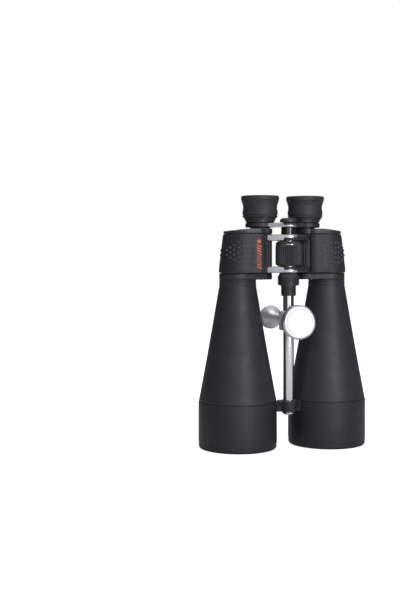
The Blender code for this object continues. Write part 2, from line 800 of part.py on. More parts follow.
def tripod_adapter(slider, swivel, screw_parent, knob_parent):
    bush = ring_profile(ROD_R + GAP, BUSH_R, -BUSH_HALF_HEIGHT, BUSH_HALF_HEIGHT)
    turned("clamp_bush", bush, "plastic", slider)

    body = disc_profile(CLAMP_R, -CLAMP_HALF_HEIGHT, CLAMP_HALF_HEIGHT, 0.0012)
    collar = turned("clamp_collar", body, "satin_metal", swivel)
    tools = (
        ("clamp_boss", BOSS_R, BOSS_FRONT, BOSS_BACK, "UNION"),
        ("clamp_screw_way", SCREW_R + GAP, BOSS_FRONT - 0.002, 0.0, "DIFFERENCE"),
    )
    for name, radius, low, high, operation in tools:
        profile = [(0.0, high), (radius, high), (radius, low), (0.0, low)]
        tool = turned_cutter(name, profile, swivel)
        tool.rotation_euler = (-pi / 2, 0.0, 0.0)
        combine(collar, tool, operation)
    bore = [(0.0, 0.020), (BUSH_R + GAP, 0.020), (BUSH_R + GAP, -0.020), (0.0, -0.020)]
    combine(collar, turned_cutter("clamp_bore", bore, swivel))

    neck = FOOT_BACK - 0.024
    post = [
        (0.0, FOOT_BACK - SOCKET_DEPTH - GAP),
        (INSERT_R + GAP, FOOT_BACK - SOCKET_DEPTH - GAP),
        (INSERT_R + GAP, FOOT_BACK),
        (FOOT_R - 0.0008, FOOT_BACK),
        (FOOT_R, FOOT_BACK - 0.0008),
        (FOOT_R, FOOT_BACK - FOOT_EDGE),
        (FOOT_R * 0.80, FOOT_BACK - FOOT_EDGE - 0.0035),
        (FOOT_R * 0.62, FOOT_BACK - 0.0120),
        (FOOT_R * 0.50, neck + 0.006),
        (POST_R, neck),
        (POST_R, BOSS_BACK + GAP),
        (0.0, BOSS_BACK + GAP),
    ]
    lying("adapter_post", post, "satin_metal", swivel)
    insert = ring_profile(SOCKET_R, INSERT_R, FOOT_BACK - SOCKET_DEPTH, FOOT_BACK - 0.0004)
    lying("socket_insert", insert, "brass", swivel)

    tip = -(BUSH_R + GAP)
    screw = [(0.0, tip), (SCREW_R, tip), (SCREW_R, KNOB_Y[0] + 0.0055), (0.0, KNOB_Y[0] + 0.0055)]
    lying("clamp_screw", screw, "steel", screw_parent, TINY)
    hub_back = BOSS_FRONT - 0.0010
    front, back = KNOB_Y
    knob = [
        (0.0, front + 0.0050),
        (SCREW_R + GAP, front + 0.0050),
        (SCREW_R + GAP, hub_back),
        (KNOB_HUB_R, hub_back),
        (KNOB_HUB_R, back),
        (KNOB_R - 0.0015, back),
        (KNOB_R, back - 0.0015),
        (KNOB_R, front + 0.0020),
        (KNOB_R - 0.0020, front),
        (0.0, front),
    ]
    lying("clamp_knob", knob, "satin_metal", knob_parent, FINE)


# ---------------------------------------------------------------- assembly


clear_scene()
PARTS = new_collection("astronomy_binoculars")
CUTTERS = new_collection("cutters")
hinge = empty_at("hinge_axis", (0.0, HINGE_Y, 0.0))
column(hinge)
focus_wheel(empty_at("wheel_axis", (0.0, 0.0, 0.0), hinge))
spindle(empty_at("spindle_axis", (0.0, 0.0, 0.0), hinge))

for side, label in ((-1, "left"), (1, "right")):
    half = empty_at(label + "_half_axis", (0.0, 0.0, 0.0), hinge)
    barrel(side, label, half)
    housing(side, label, half)
    cover(side, label, half)
    prisms(side, label, half)
    lugs(side, label, half)
    brace(side, label, half)
    bridge_arm(side, label, empty_at(label + "_bridge_axis", (0.0, 0.0, 0.0), half))
    eye_axis = empty_at(label + "_eyepiece_axis", (side * EYEPIECE.x, EYEPIECE.y, 0.0), half)
    cell_axis = empty_at(label + "_cell_axis", (0.0, 0.0, 0.0), eye_axis)
    ring_axis = empty_at(label + "_ring_axis", (0.0, 0.0, 0.0), cell_axis)
    eyepiece(label, eye_axis, cell_axis, ring_axis)

slider_axis = empty_at("adapter_slide_axis", (0.0, 0.0, ADAPTER_Z), hinge)
swivel_axis = empty_at("adapter_swivel_axis", (0.0, 0.0, 0.0), slider_axis)
screw_axis = empty_at("clamp_screw_axis", (0.0, 0.0, 0.0), swivel_axis)
knob_axis = empty_at("clamp_knob_axis", (0.0, 0.0, 0.0), screw_axis)
tripod_adapter(slider_axis, swivel_axis, screw_axis, knob_axis)
bpy.context.view_layer.update()
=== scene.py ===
"""Looks for the astronomy binoculars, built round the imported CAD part.

The outer CAD nodes are replaced by finer meshes of the same size, turned, lofted or cut from a
plate. The hinge shaft and the inner nodes, such as the prisms, stay as they are. Every piece gets
a procedural material. Heights are metres above the floor and plan sizes are metres from the hinge
axis. "Away" is the distance from the hinge's plane of symmetry towards a barrel: a side of -1 is
the left half, +1 the right half. Profiles are (radius, height, fillet) corners.
"""

import json
from functools import cache
from math import cos, hypot, pi, radians, sin, sqrt, tan

import bmesh
import bpy
import numpy as np
from mathutils import Matrix, Vector, geometry

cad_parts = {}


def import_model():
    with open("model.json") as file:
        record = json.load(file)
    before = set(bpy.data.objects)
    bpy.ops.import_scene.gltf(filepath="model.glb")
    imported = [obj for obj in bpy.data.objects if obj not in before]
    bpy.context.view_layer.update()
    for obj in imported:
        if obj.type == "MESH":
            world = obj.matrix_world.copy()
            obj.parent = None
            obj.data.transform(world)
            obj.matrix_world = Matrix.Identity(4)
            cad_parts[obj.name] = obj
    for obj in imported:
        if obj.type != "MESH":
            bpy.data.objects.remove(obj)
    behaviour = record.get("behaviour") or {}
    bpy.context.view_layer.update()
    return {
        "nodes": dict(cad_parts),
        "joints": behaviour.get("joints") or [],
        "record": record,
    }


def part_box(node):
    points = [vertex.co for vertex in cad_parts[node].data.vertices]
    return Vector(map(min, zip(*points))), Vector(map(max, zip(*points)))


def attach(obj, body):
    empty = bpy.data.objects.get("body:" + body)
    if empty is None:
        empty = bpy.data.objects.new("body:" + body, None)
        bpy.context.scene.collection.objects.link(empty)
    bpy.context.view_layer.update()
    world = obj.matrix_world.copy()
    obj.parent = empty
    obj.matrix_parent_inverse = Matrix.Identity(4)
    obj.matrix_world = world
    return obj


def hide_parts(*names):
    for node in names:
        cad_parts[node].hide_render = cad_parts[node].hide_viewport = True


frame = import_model()

BODY = {node: body for body, nodes in frame["record"]["behaviour"]["bodies"].items() for node in nodes}
SLOT = {part["node"]: part["material_slot"] for part in frame["record"]["subparts"]}
HINGE = Vector(next(j for j in frame["joints"] if j["name"] == "left_fold")["pos_m"])

GAP = 0.0003  # clearance between pieces
OVERCUT = 0.001  # how far a cutting tool runs past the piece
WELD = 0.000002  # vertices closer than this are one
FINE = 160  # sides of a turned piece
SHARP = radians(32)  # edges that turn more than this stay sharp
IN_LINE = 1.55  # half the angle at a corner that is nearly straight
WHITE = (1.0, 1.0, 1.0, 1.0)


def low_z(node):
    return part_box(node)[0].z


def high_z(node):
    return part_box(node)[1].z


def span(node):
    return low_z(node), high_z(node)


def across_y(node):
    """A node's front and back, from the hinge axis."""
    return (corner.y - HINGE.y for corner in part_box(node))


def radius_of(node):
    low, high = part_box(node)
    return (high.x - low.x) / 2


def plan_centre(node):
    """Where a turned node's axis stands, from the hinge axis."""
    low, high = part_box(node)
    return Vector(((low.x + high.x) / 2 - HINGE.x, (low.y + high.y) / 2 - HINGE.y))


OBJECTIVE = plan_centre("right_objective_sleeve")
EYEPIECE = plan_centre("right_eyecup")
BARREL_R = radius_of("right_objective_sleeve")
CONE_LOW, NECK_TOP = span("right_barrel_armour")
HOUSING_LOW, HOUSING_HIGH = span("right_prism_housing")
ARMOUR_LOW = low_z("right_housing_armour")
ARMOUR_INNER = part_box("right_housing_armour")[0].x
HOUSING_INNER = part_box("right_prism_housing")[0].x
ADAPTER_Z = sum(span("clamp_collar")) / 2


# ---- mesh helpers


def placed(name, data):
    """An object with this data, in the scene."""
    made = bpy.data.objects.new(name, data)
    bpy.context.scene.collection.objects.link(made)
    return made


def finish_mesh(name, work):
    """Turns a bmesh into an object in the row frame, smooth apart from its sharp edges."""
    bmesh.ops.recalc_face_normals(work, faces=work.faces)
    mesh = bpy.data.meshes.new(name)
    work.to_mesh(mesh)
    work.free()
    mesh.shade_smooth()
    mesh.set_sharp_from_angle(angle=SHARP)
    return placed(name, mesh)


def rounded(corners, closed=True, steps=5):
    """A path through (x, y, radius) corners, each turned into an arc of a few steps."""
    path = []
    last = len(corners) - 1
    for i, (x, y, radius) in enumerate(corners):
        corner = Vector((x, y))
        before = (Vector(corners[i - 1][:2]) - corner).normalized()
        after = (Vector(corners[(i + 1) % len(corners)][:2]) - corner).normalized()
        at_end = not closed and i in (0, last)
        half = 0.0 if radius == 0.0 or at_end else before.angle(after) / 2
        if half == 0.0 or half > IN_LINE:
            path.append((x, y))
            continue
        centre = corner + (before + after).normalized() * (radius / sin(half))
        start = corner + before * (radius / tan(half)) - centre
        end = corner + after * (radius / tan(half)) - centre
        sweep = start.angle_signed(end)
        for step in range(steps + 1):
            path.append(tuple(centre + Matrix.Rotation(-sweep * step / steps, 2) @ start))
    return path


def skin(work, rows, closed_rows, closed_ends):
    """Quads over rows of vertices; a row of one vertex is a pole."""
    pairs = list(zip(rows, rows[1:]))
    if closed_ends:
        pairs.append((rows[-1], rows[0]))
    for low, high in pairs:
        count = max(len(low), len(high))
        for i in range(count if closed_rows else count - 1):
            k = (i + 1) % count
            corners = [low[i % len(low)], low[k % len(low)], high[k % len(high)], high[i % len(high)]]
            unique = list(dict.fromkeys(corners))
            if len(unique) > 2:
                work.faces.new(unique)


def turned(name, corners, centre, sides=FINE, lying=False, ribs=0, depth=0.0):
    """A piece turned about an axis through centre, from (radius, height, fillet) corners.

    A corner without a fillet is sharp. Lying, the axis is along Y and heights are places along it.
    With ribs, a corner may carry a fourth number, the share of the ribs' depth there.
    """
    amounts = [(*c[:2], c[3] if len(c) > 3 else 0.0) for c in corners]
    touches = any(c[0] == 0.0 for c in corners)
    path = rounded([(*c, 0.0)[:3] for c in corners], closed=not touches)
    work = bmesh.new()
    rows = []
    for radius, height in path:
        share = min(amounts, key=lambda a: hypot(a[0] - radius, a[1] - height))[2] if ribs else 0.0
        row = []
        for i in range(sides if radius > WELD else 1):
            angle = 2 * pi * i / sides
            reach = radius - depth * share * (0.5 - 0.5 * cos(ribs * angle)) ** 1.5
            x, y = reach * cos(angle), reach * sin(angle)
            spot = (x, height, y) if lying else (x, y, height)
            row.append(work.verts.new([c + s for c, s in zip(centre, spot)]))
        rows.append(row)
    skin(work, rows, True, not touches)
    return finish_mesh(name, work)


def at_hinge(plan=(0.0, 0.0), height=0.0):
    return (HINGE.x + plan[0], HINGE.y + plan[1], height)


def circle(centre, radius, count=96):
    turns = [2 * pi * i / count for i in range(count)]
    return [(centre[0] + radius * cos(a), centre[1] + radius * sin(a)) for a in turns]


def hull(*circles):
    """The outline of a band stretched round circles of (x, y, radius)."""
    points = [p for x, y, radius in circles for p in circle((x, y), radius)]
    return [points[i] for i in geometry.convex_hull_2d(points)]


def on_side(side, outline):
    return [(side * x, y) for x, y in outline]


def plate(name, outlines, low, high, edge=0.0):
    """A flat plate with rounded edges. The first outline is its rim and the others are holes."""
    curve = bpy.data.curves.new(name, "CURVE")
    curve.dimensions = "2D"
    curve.fill_mode = "BOTH"
    curve.extrude = (high - low) / 2 - edge
    curve.bevel_depth = edge
    curve.bevel_resolution = 3
    curve.offset = -edge
    for outline in outlines:
        spline = curve.splines.new("POLY")
        spline.points.add(len(outline) - 1)
        spline.points.foreach_set("co", [value for x, y in outline for value in (x, y, 0.0, 1.0)])
        spline.use_cyclic_u = True
    guide = placed(name + "_outline", curve)
    mesh = bpy.data.meshes.new_from_object(guide.evaluated_get(bpy.context.evaluated_depsgraph_get()))
    bpy.data.objects.remove(guide, do_unlink=True)
    work = bmesh.new()
    work.from_mesh(mesh)
    bpy.data.meshes.remove(mesh)
    bmesh.ops.remove_doubles(work, verts=work.verts, dist=WELD / 2)
    bmesh.ops.translate(work, verts=work.verts, vec=(HINGE.x, HINGE.y, (low + high) / 2))
    return finish_mesh(name, work)


def round_edges(low, high, edge):
    """(inset, height) levels for a slab with well-rounded edges."""
    bends = [pi / 2 * i / 5 for i in range(6)]
    levels = [(edge * (1 - sin(a)), low + edge * (1 - cos(a))) for a in bends]
    return levels + [(inset, low + high - z) for inset, z in levels[::-1]]


def ridge_levels(low, high, count, depth, edge):
    """(inset, height) levels for a slab with grooves round it."""
    pitch = (high - low - 2 * edge) / count
    levels = [(edge, low), (edge * 0.3, low + edge * 0.3), (0.0, low + edge)]
    for i in range(count):
        start = low + edge + pitch * i
        shares = ((0.30, 0.0), (0.38, 1.0), (0.62, 1.0), (0.70, 0.0)) if i else ((0.70, 0.0),)
        levels += [(depth * deep, start + pitch * share) for share, deep in shares]
    return levels + [(0.0, high - edge), (edge * 0.3, high - edge * 0.3), (edge, high)]


def slab(name, side, circles, levels):
    """A solid band round circles of (x, y, radius), drawn in by an inset at each level."""
    work = bmesh.new()
    ways = [Vector((cos(a), sin(a))) for a in (2 * pi * i / FINE for i in range(FINE))]
    reached = [max(circles, key=lambda c: c[0] * way.x + c[1] * way.y + c[2]) for way in ways]
    rows = []
    for inset, z in levels:
        row = []
        for (x, y, radius), way in zip(reached, ways):
            reach = radius - inset
            plan = (side * (x + reach * way.x), y + reach * way.y)
            row.append(work.verts.new(at_hinge(plan, z)))
        rows.append(row)
    skin(work, rows, True, False)
    work.faces.new(rows[0])
    work.faces.new(rows[-1][::-1])
    return finish_mesh(name, work)


def carve(piece, tool, operation="DIFFERENCE"):
    """Applies a Boolean with a tool, which is used up, and welds the cut's seam."""
    boolean = piece.modifiers.new("carve", "BOOLEAN")
    boolean.operation = operation
    boolean.solver = "EXACT"
    boolean.object = tool
    bpy.context.view_layer.update()
    old = piece.data
    evaluated = piece.evaluated_get(bpy.context.evaluated_depsgraph_get())
    piece.data = bpy.data.meshes.new_from_object(evaluated)
    piece.modifiers.clear()
    bpy.data.objects.remove(tool, do_unlink=True)
    bpy.data.meshes.remove(old)
    work = bmesh.new()
    work.from_mesh(piece.data)
    bmesh.ops.remove_doubles(work, verts=work.verts, dist=WELD)
    bmesh.ops.dissolve_degenerate(work, edges=work.edges, dist=WELD)
    work.to_mesh(piece.data)
    work.free()
    piece.data.shade_smooth()
    piece.data.set_sharp_from_angle(angle=SHARP)


def rod_line(radius, low, high, edge=0.0):
    """The profile of a plain rod."""
    return [(0.0, high), (radius, high, edge), (radius, low, edge), (0.0, low)]


def tube_line(outer, inner, low, high, edge=0.0, inner_edge=0.0):
    """The profile of a plain tube."""
    return [(outer, high, edge), (outer, low, edge), (inner, low, inner_edge), (inner, high, inner_edge)]


def lens_line(edge, low, high, low_sag, high_sag):
    """The profile of a lens, both of whose faces fall back towards its edge."""
    shares = np.linspace(0.0, 1.0, 15)
    upper = [(edge * s, high - high_sag * s * s) for s in shares]
    return upper + [(edge * s, low + low_sag * s * s) for s in shares[::-1]]


def drum(radius, low, high, plan=(0.0, 0.0)):
    """A plain cylinder to carve with."""
    return turned("drum", rod_line(radius, low, high), at_hinge(plan), 128)


def bore(piece, radius, low, high, plan=(0.0, 0.0)):
    """Cuts an upright hole right through a piece."""
    carve(piece, drum(radius, low - OVERCUT, high + OVERCUT, plan))


def halve(piece, radius, low, high, keeps_low):
    """Cuts away half the height of a knuckle, to leave room for the knuckle it meets."""
    middle = (low + high) / 2
    cut = (middle - GAP / 2, high + OVERCUT) if keeps_low else (low - OVERCUT, middle + GAP / 2)
    carve(piece, drum(radius + KNUCKLE_ROOM, *cut))


def detail(piece, body, slot, material=None):
    """The piece rides on a body and takes a slot's finish, or a variant of it."""
    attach(piece, body)
    piece.data.materials.clear()
    piece.data.materials.append(MATERIALS[material or slot])


def show(piece, node, material=None):
    """The piece stands for a CAD node: it takes the node's body and slot."""
    detail(piece, BODY[node], SLOT[node], material)
    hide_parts(node)


# ---- materials

MATERIALS = {}


def fill(node, **values):
    """Sets a node's inputs by name."""
    for name, value in values.items():
        node.inputs[name.replace("_", " ").title().replace("Ior", "IOR")].default_value = value


class Finish:
    """A Principled material with the few node patterns that every finish here is made of."""

    def __init__(self, name, **constants):
        self.material = MATERIALS[name] = bpy.data.materials.new(name)
        self.material.use_nodes = True
        self.tree = self.material.node_tree
        self.shader = self.tree.nodes["Principled BSDF"]
        fill(self.shader, **constants)
        self.place = self.node("TexCoord").outputs["Object"]
        self.normal = None

    def node(self, kind, **settings):
        made = self.tree.nodes.new("ShaderNode" + kind)
        for key, value in settings.items():
            setattr(made, key, value)
        return made

    def link(self, source, target):
        self.tree.links.new(source, target)

    def noise(self, scale, detail=3.0, roughness=0.55, stretch=None):
        made = self.node("TexNoise")
        fill(made, scale=scale, detail=detail, roughness=roughness)
        source = self.place
        if stretch:
            mapping = self.node("Mapping")
            fill(mapping, scale=stretch)
            self.link(self.place, mapping.inputs["Vector"])
            source = mapping.outputs["Vector"]
        self.link(source, made.inputs["Vector"])
        return made.outputs["Fac"]

    def cells(self, scale):
        made = self.node("TexVoronoi")
        fill(made, scale=scale)
        self.link(self.place, made.inputs["Vector"])
        return made.outputs["Distance"]

    def spread(self, source, low, high, to_low=0.0, to_high=1.0):
        """Maps low..high of a value to to_low..to_high, clamped."""
        made = self.node("MapRange")
        fill(made, from_min=low, from_max=high, to_min=to_low, to_max=to_high)
        self.link(source, made.inputs["Value"])
        return made.outputs["Result"]

    def patches(self, scale, detail, *limits):
        """Noise, spread between limits."""
        return self.spread(self.noise(scale, detail), *limits)

    def edges(self, start=0.52, full=0.60):
        """1 on a piece's convex edges, where handling wears it."""
        return self.spread(self.node("NewGeometry").outputs["Pointiness"], start, full)

    def times(self, first, second):
        made = self.node("Math", operation="MULTIPLY")
        self.link(first, made.inputs[0])
        self.link(second, made.inputs[1])
        return made.outputs[0]

    def blend(self, share, first, second):
        """A colour between two, each either a colour or a socket."""
        made = self.node("Mix", data_type="RGBA")
        self.link(share, made.inputs["Factor"])
        for socket, value in ((made.inputs[6], first), (made.inputs[7], second)):
            if isinstance(value, tuple):
                socket.default_value = (*value, 1.0)
            else:
                self.link(value, socket)
        return made.outputs[2]

    def colour(self, source):
        self.link(source, self.shader.inputs["Base Color"])

    def roughness(self, source):
        self.link(source, self.shader.inputs["Roughness"])

    def bump(self, source, distance, strength=0.5):
        made = self.node("Bump")
        fill(made, strength=strength, distance=distance)
        self.link(source, made.inputs["Height"])
        if self.normal:
            self.link(self.normal, made.inputs["Normal"])
        self.normal = made.outputs["Normal"]
        self.link(self.normal, self.shader.inputs["Normal"])


def scaled(colour, share):
    return tuple(channel * share for channel in colour)


def rubber(name, dark, light, worn, rough, grain=3200.0, pebble=1500.0):
    """Moulded rubber: pebbled grain, patchy sheen, and edges polished by handling."""
    made = Finish(name, specular_ior_level=0.42)
    base = made.blend(made.patches(55.0, 4.0, 0.35, 0.68), dark, light)
    base = made.blend(made.patches(900.0, 2.0, 0.60, 0.78, 0.0, 0.5), base, worn)
    rubbed = made.times(made.edges(), made.patches(140.0, 3.0, 0.40, 0.65, 0.2))
    made.colour(made.blend(rubbed, base, worn))
    made.roughness(made.patches(80.0, 5.0, 0.3, 0.7, rough - 0.05, rough + 0.07))
    made.bump(made.cells(pebble), 0.00012, 0.35)
    made.bump(made.noise(grain, 2.0), 0.00006, 0.4)


def armour_tone(name, shade):
    """The armour's rubber, in lit and shaded copies: a share above 1 lightens it and one below darkens it,
    painted light and shade.
    """
    tones = ((0.021, 0.0232, 0.0278), (0.026, 0.0282, 0.0328), (0.050, 0.052, 0.056))
    rubber(name, *(scaled(tone, shade) for tone in tones), 0.50)


def metal(name, colour, worn, rough, metallic=1.0, depth=0.00001):
    """Machined metal: fine tool lines round the piece, smudges, and brighter edges."""
    made = Finish(name, metallic=metallic)
    smudge = made.spread(made.noise(70.0, 5.0, 0.6), 0.40, 0.72)
    base = made.blend(smudge, colour, scaled(colour, 0.90))
    made.colour(made.blend(made.edges(0.53, 0.62), base, worn))
    lines = made.noise(1.0, 2.0, 0.5, (90.0, 90.0, 2600.0))
    made.roughness(made.spread(lines, 0.3, 0.7, rough * 0.85, rough * 1.2))
    made.bump(lines, depth, 0.35)


def painted(name, colour, worn, rough, grain, depth, coat=0.0, metallic=0.0):
    """Anodised, lacquered or moulded black: even colour, fine texture, bare worn edges."""
    made = Finish(name, metallic=metallic, coat_weight=coat, coat_roughness=0.06)
    base = made.blend(made.patches(45.0, 4.0, 0.35, 0.70), colour, scaled(colour, 1.35))
    chips = made.times(made.edges(0.54, 0.64), made.patches(260.0, 3.0, 0.45, 0.60))
    made.colour(made.blend(chips, base, worn))
    made.roughness(made.patches(120.0, 5.0, 0.3, 0.7, rough * 0.88, rough * 1.14))
    made.bump(made.noise(grain, 3.0), depth, 0.4)


def glass(name, tint, **film):
    """Polished glass with a little dust, and an anti-reflection film where one is given."""
    made = Finish(name, transmission_weight=1.0, ior=1.52, **film)
    made.colour(made.blend(made.patches(700.0, 4.0, 0.62, 0.80), tint, scaled(tint, 0.8)))
    made.roughness(made.patches(90.0, 5.0, 0.35, 0.75, 0.0, 0.05))
    made.bump(made.noise(25.0, 1.0), 0.000004, 0.1)


armour_tone("armour_rubber", 0.96)
# The barrel's copy is lightened, a painted light on the cone that turns up to the lamps; the sleeve's copy
# is darkened, a painted shade on the upright sleeve.
armour_tone("barrel_rubber_painted_light", 1.10)
armour_tone("sleeve_rubber_painted_shade", 0.78)
# The studs' rubber is lighter than the armour's rubber they are moulded with, and so is its worn colour: a
# painted highlight on the studs.
rubber("stud_rubber_painted_highlight", (0.058, 0.061, 0.066), (0.068, 0.071, 0.077), (0.110, 0.112, 0.117), 0.36)
rubber("cup_rubber", (0.029, 0.030, 0.033), (0.037, 0.038, 0.041), (0.068, 0.068, 0.069), 0.56, 3800, 2200)
painted("black_aluminium", (0.020, 0.020, 0.022), (0.12, 0.12, 0.13), 0.48, 4200.0, 0.00002)
painted("black_plastic", (0.029, 0.030, 0.033), (0.080, 0.080, 0.082), 0.38, 2600.0, 0.00003)
painted("gloss_black", (0.009, 0.009, 0.010), (0.12, 0.12, 0.12), 0.16, 900.0, 0.000004, coat=0.6)
metal("satin_metal", (0.60, 0.60, 0.62), (0.78, 0.78, 0.79), 0.36, depth=0.000004)
metal("pale_metal", (0.90, 0.90, 0.90), (0.95, 0.95, 0.95), 0.40, metallic=0.42, depth=0.000004)
metal("chrome", (0.80, 0.80, 0.82), (0.90, 0.90, 0.91), 0.075, depth=0.000002)
metal("steel", (0.50, 0.50, 0.52), (0.70, 0.70, 0.71), 0.28)
metal("brass", (0.65, 0.48, 0.22), (0.80, 0.64, 0.36), 0.26)
glass("optical_glass", (0.93, 0.95, 0.97), thin_film_thickness=330.0, thin_film_ior=1.38)
glass("prism_glass", (0.95, 0.97, 0.97))
painted("mark", (0.62, 0.095, 0.035), (0.30, 0.05, 0.03), 0.45, 2400.0, 0.00002)

for node, piece in frame["nodes"].items():
    piece.data.materials.clear()
    piece.data.materials.append(MATERIALS[SLOT[node]])


# ---- objective barrels

NECK_R = 0.02415
CONE_LOW_R = 0.0505
CONE_HIGH = 0.2100
CONE_SAG = 0.0004  # how far the cone's side is hollowed
CONE_BACK = 0.0665  # where the skin inside leaves the sleeve for the cone
RUBBER = 0.0018
WALL = 0.0016
BAFFLE = 0.0016  # width of each fine step in a cell's mouth
CROWN_RIM = (0.0120, 0.0160)  # heights of a crown lens's edge


def cone_radius(height):
    share = (height - CONE_LOW) / (CONE_HIGH - CONE_LOW)
    return CONE_LOW_R + share * (NECK_R - CONE_LOW_R) - CONE_SAG * sin(pi * share)


def barrel(side, label):
    centre = at_hinge((side * OBJECTIVE.x, OBJECTIVE.y))
    lip = CONE_LOW - 0.0008
    cone = [(cone_radius(z), z) for z in np.linspace(CONE_HIGH - 0.0080, CONE_LOW + 0.0030, 22)]
    skin_line = [
        (NECK_R, NECK_TOP, 0.0005), (NECK_R, 0.2164, 0.0003), (NECK_R - 0.0005, 0.2160, 0.0002),
        (NECK_R - 0.0005, 0.2153, 0.0002), (NECK_R, 0.2149, 0.0003),
        (NECK_R + 0.0002, 0.2128, 0.0020), (NECK_R - 0.0001, 0.2104, 0.0020), *cone,
        (cone_radius(CONE_LOW) + 0.0001, lip, 0.0003), (BARREL_R - RUBBER, lip),
        (cone_radius(CONE_BACK) - RUBBER, CONE_BACK), (NECK_R - RUBBER, CONE_HIGH),
        (NECK_R - RUBBER, NECK_TOP),
    ]
    # The cone's skin takes the lightened copy of the rubber, a painted light.
    show(turned(label + "_barrel_skin", skin_line, centre), label + "_barrel_armour", "barrel_rubber_painted_light")

    top = high_z(label + "_objective_sleeve")
    inner = BARREL_R - RUBBER
    sleeve = [
        (BARREL_R, top, 0.0009), (BARREL_R, 0.0078, 0.0004), (BARREL_R - 0.00035, 0.0071, 0.0004),
        (BARREL_R - 0.00035, 0.0000, 0.0026), (inner - 0.0013, 0.0000, 0.0012),
        (inner - 0.0013, 0.0025, 0.0003), (inner, 0.0027), (inner, top, 0.0003),
    ]
    # The sleeve takes the darkened copy of the rubber, a painted shade.
    show(turned(label + "_sleeve_skin", sleeve, centre), label + "_objective_sleeve", "sleeve_rubber_painted_shade")

    crown_r = radius_of(label + "_crown_lens")
    hold, clear = inner - 0.0006 - WALL - GAP, crown_r - 0.0012
    seat, top = span(label + "_lens_cell")
    ledge = CROWN_RIM[0] - GAP
    cell = [(hold, top, 0.0003), (hold, seat, 0.0004), (hold - BAFFLE, seat, 0.0003)]
    for i in (1, 2, 3):  # fine steps in the cell's mouth keep stray light out
        cell.append((hold - BAFFLE * i, seat + 0.0006 * i, 0.0001))
        cell.append((hold - BAFFLE * (i + 1), seat + 0.0006 * i, 0.0001))
    cell += [
        (clear, seat + 0.0018, 0.0003), (clear, ledge), (clear + 0.0015, ledge),
        (clear + 0.0015, top, 0.0003),
    ]
    show(turned(label + "_lens_mount", cell, centre), label + "_lens_cell")
    low, high = span(label + "_crown_lens")
    crown = lens_line(crown_r, low, high, CROWN_RIM[0] - low, high - CROWN_RIM[1])
    show(turned(label + "_front_lens", crown, centre), label + "_crown_lens")


# ---- prism housings

HOUSING_OUTER = (0.0860, 0.0800)
HOUSING_FRONT = (-0.0060, -0.0052)
HOUSING_BACK = (0.0520, 0.0512)
CORNER_R = 0.0260
SHOULDER = 0.0050  # width and depth of the slope at the front, beside the hinge
SHOULDER_R = 0.0140
PANEL_START = 0.0482  # away, where the raised grip panel starts
PANEL_RISE = 0.0003
PANEL_SLOPE = 0.0030
PANEL_RIM = 0.0026  # how far the panel stays from the armour's top and bottom
ARMOUR_EDGE = 0.0011
PATH_STEP = 0.0006
RIB_DEPTH = 0.0007
RIB_COUNT = 28


def level_of(height):
    return (height - HOUSING_LOW) / (HOUSING_HIGH - HOUSING_LOW)


def between(pair, share):
    return pair[0] + (pair[1] - pair[0]) * share


def outline_corners(share, inset):
    """Corners of the way round a housing, from front to back, at a share of its height."""
    outer = between(HOUSING_OUTER, share) - inset
    front = between(HOUSING_FRONT, share) + inset
    back = between(HOUSING_BACK, share) - inset
    slope = SHOULDER + inset * tan(pi / 8)
    return [
        (ARMOUR_INNER, front + slope, 0.0),
        (ARMOUR_INNER + slope, front, SHOULDER_R - inset),
        (outer, front, CORNER_R - inset),
        (outer, back, CORNER_R - inset),
        (ARMOUR_INNER, back, 0.0),
    ]


@cache
def skin_path(height):
    """Lengths along the armour's outer skin from the front, with the points and outward directions."""
    path = np.array(rounded(outline_corners(level_of(height), 0.0), closed=False, steps=24))
    lengths = np.concatenate(([0.0], np.cumsum(np.hypot(*np.diff(path, axis=0).T))))
    along = np.gradient(path, lengths, axis=0)
    return lengths, path, np.stack((along[:, 1], -along[:, 0]), axis=1)


def skin_at(length, height, side):
    """A point on the armour's outer skin and its outward direction."""
    lengths, path, outward = skin_path(height)
    x, y, nx, ny = (np.interp(length, lengths, column) for column in (*path.T, *outward.T))
    return Vector(at_hinge((side * x, y), height)), Vector((side * nx, ny, 0.0)).normalized()


def skin_length(height):
    return skin_path(height)[0][-1]


def front_length(away, height):
    """How far along the skin a place on the front is."""
    lengths, path, _ = skin_path(height)
    front = int(np.argmax(path[:, 0])) + 1
    return float(np.interp(away, path[:front, 0], lengths[:front]))


def smooth(value):
    value = min(max(value, 0.0), 1.0)
    return value * value * (3 - 2 * value)


def round_off(distance, radius):
    """How far a rounded edge falls back, at a distance from where it ends."""
    if distance >= radius:
        return 0.0
    return radius - sqrt(max(radius * radius - (radius - distance) ** 2, 0.0))


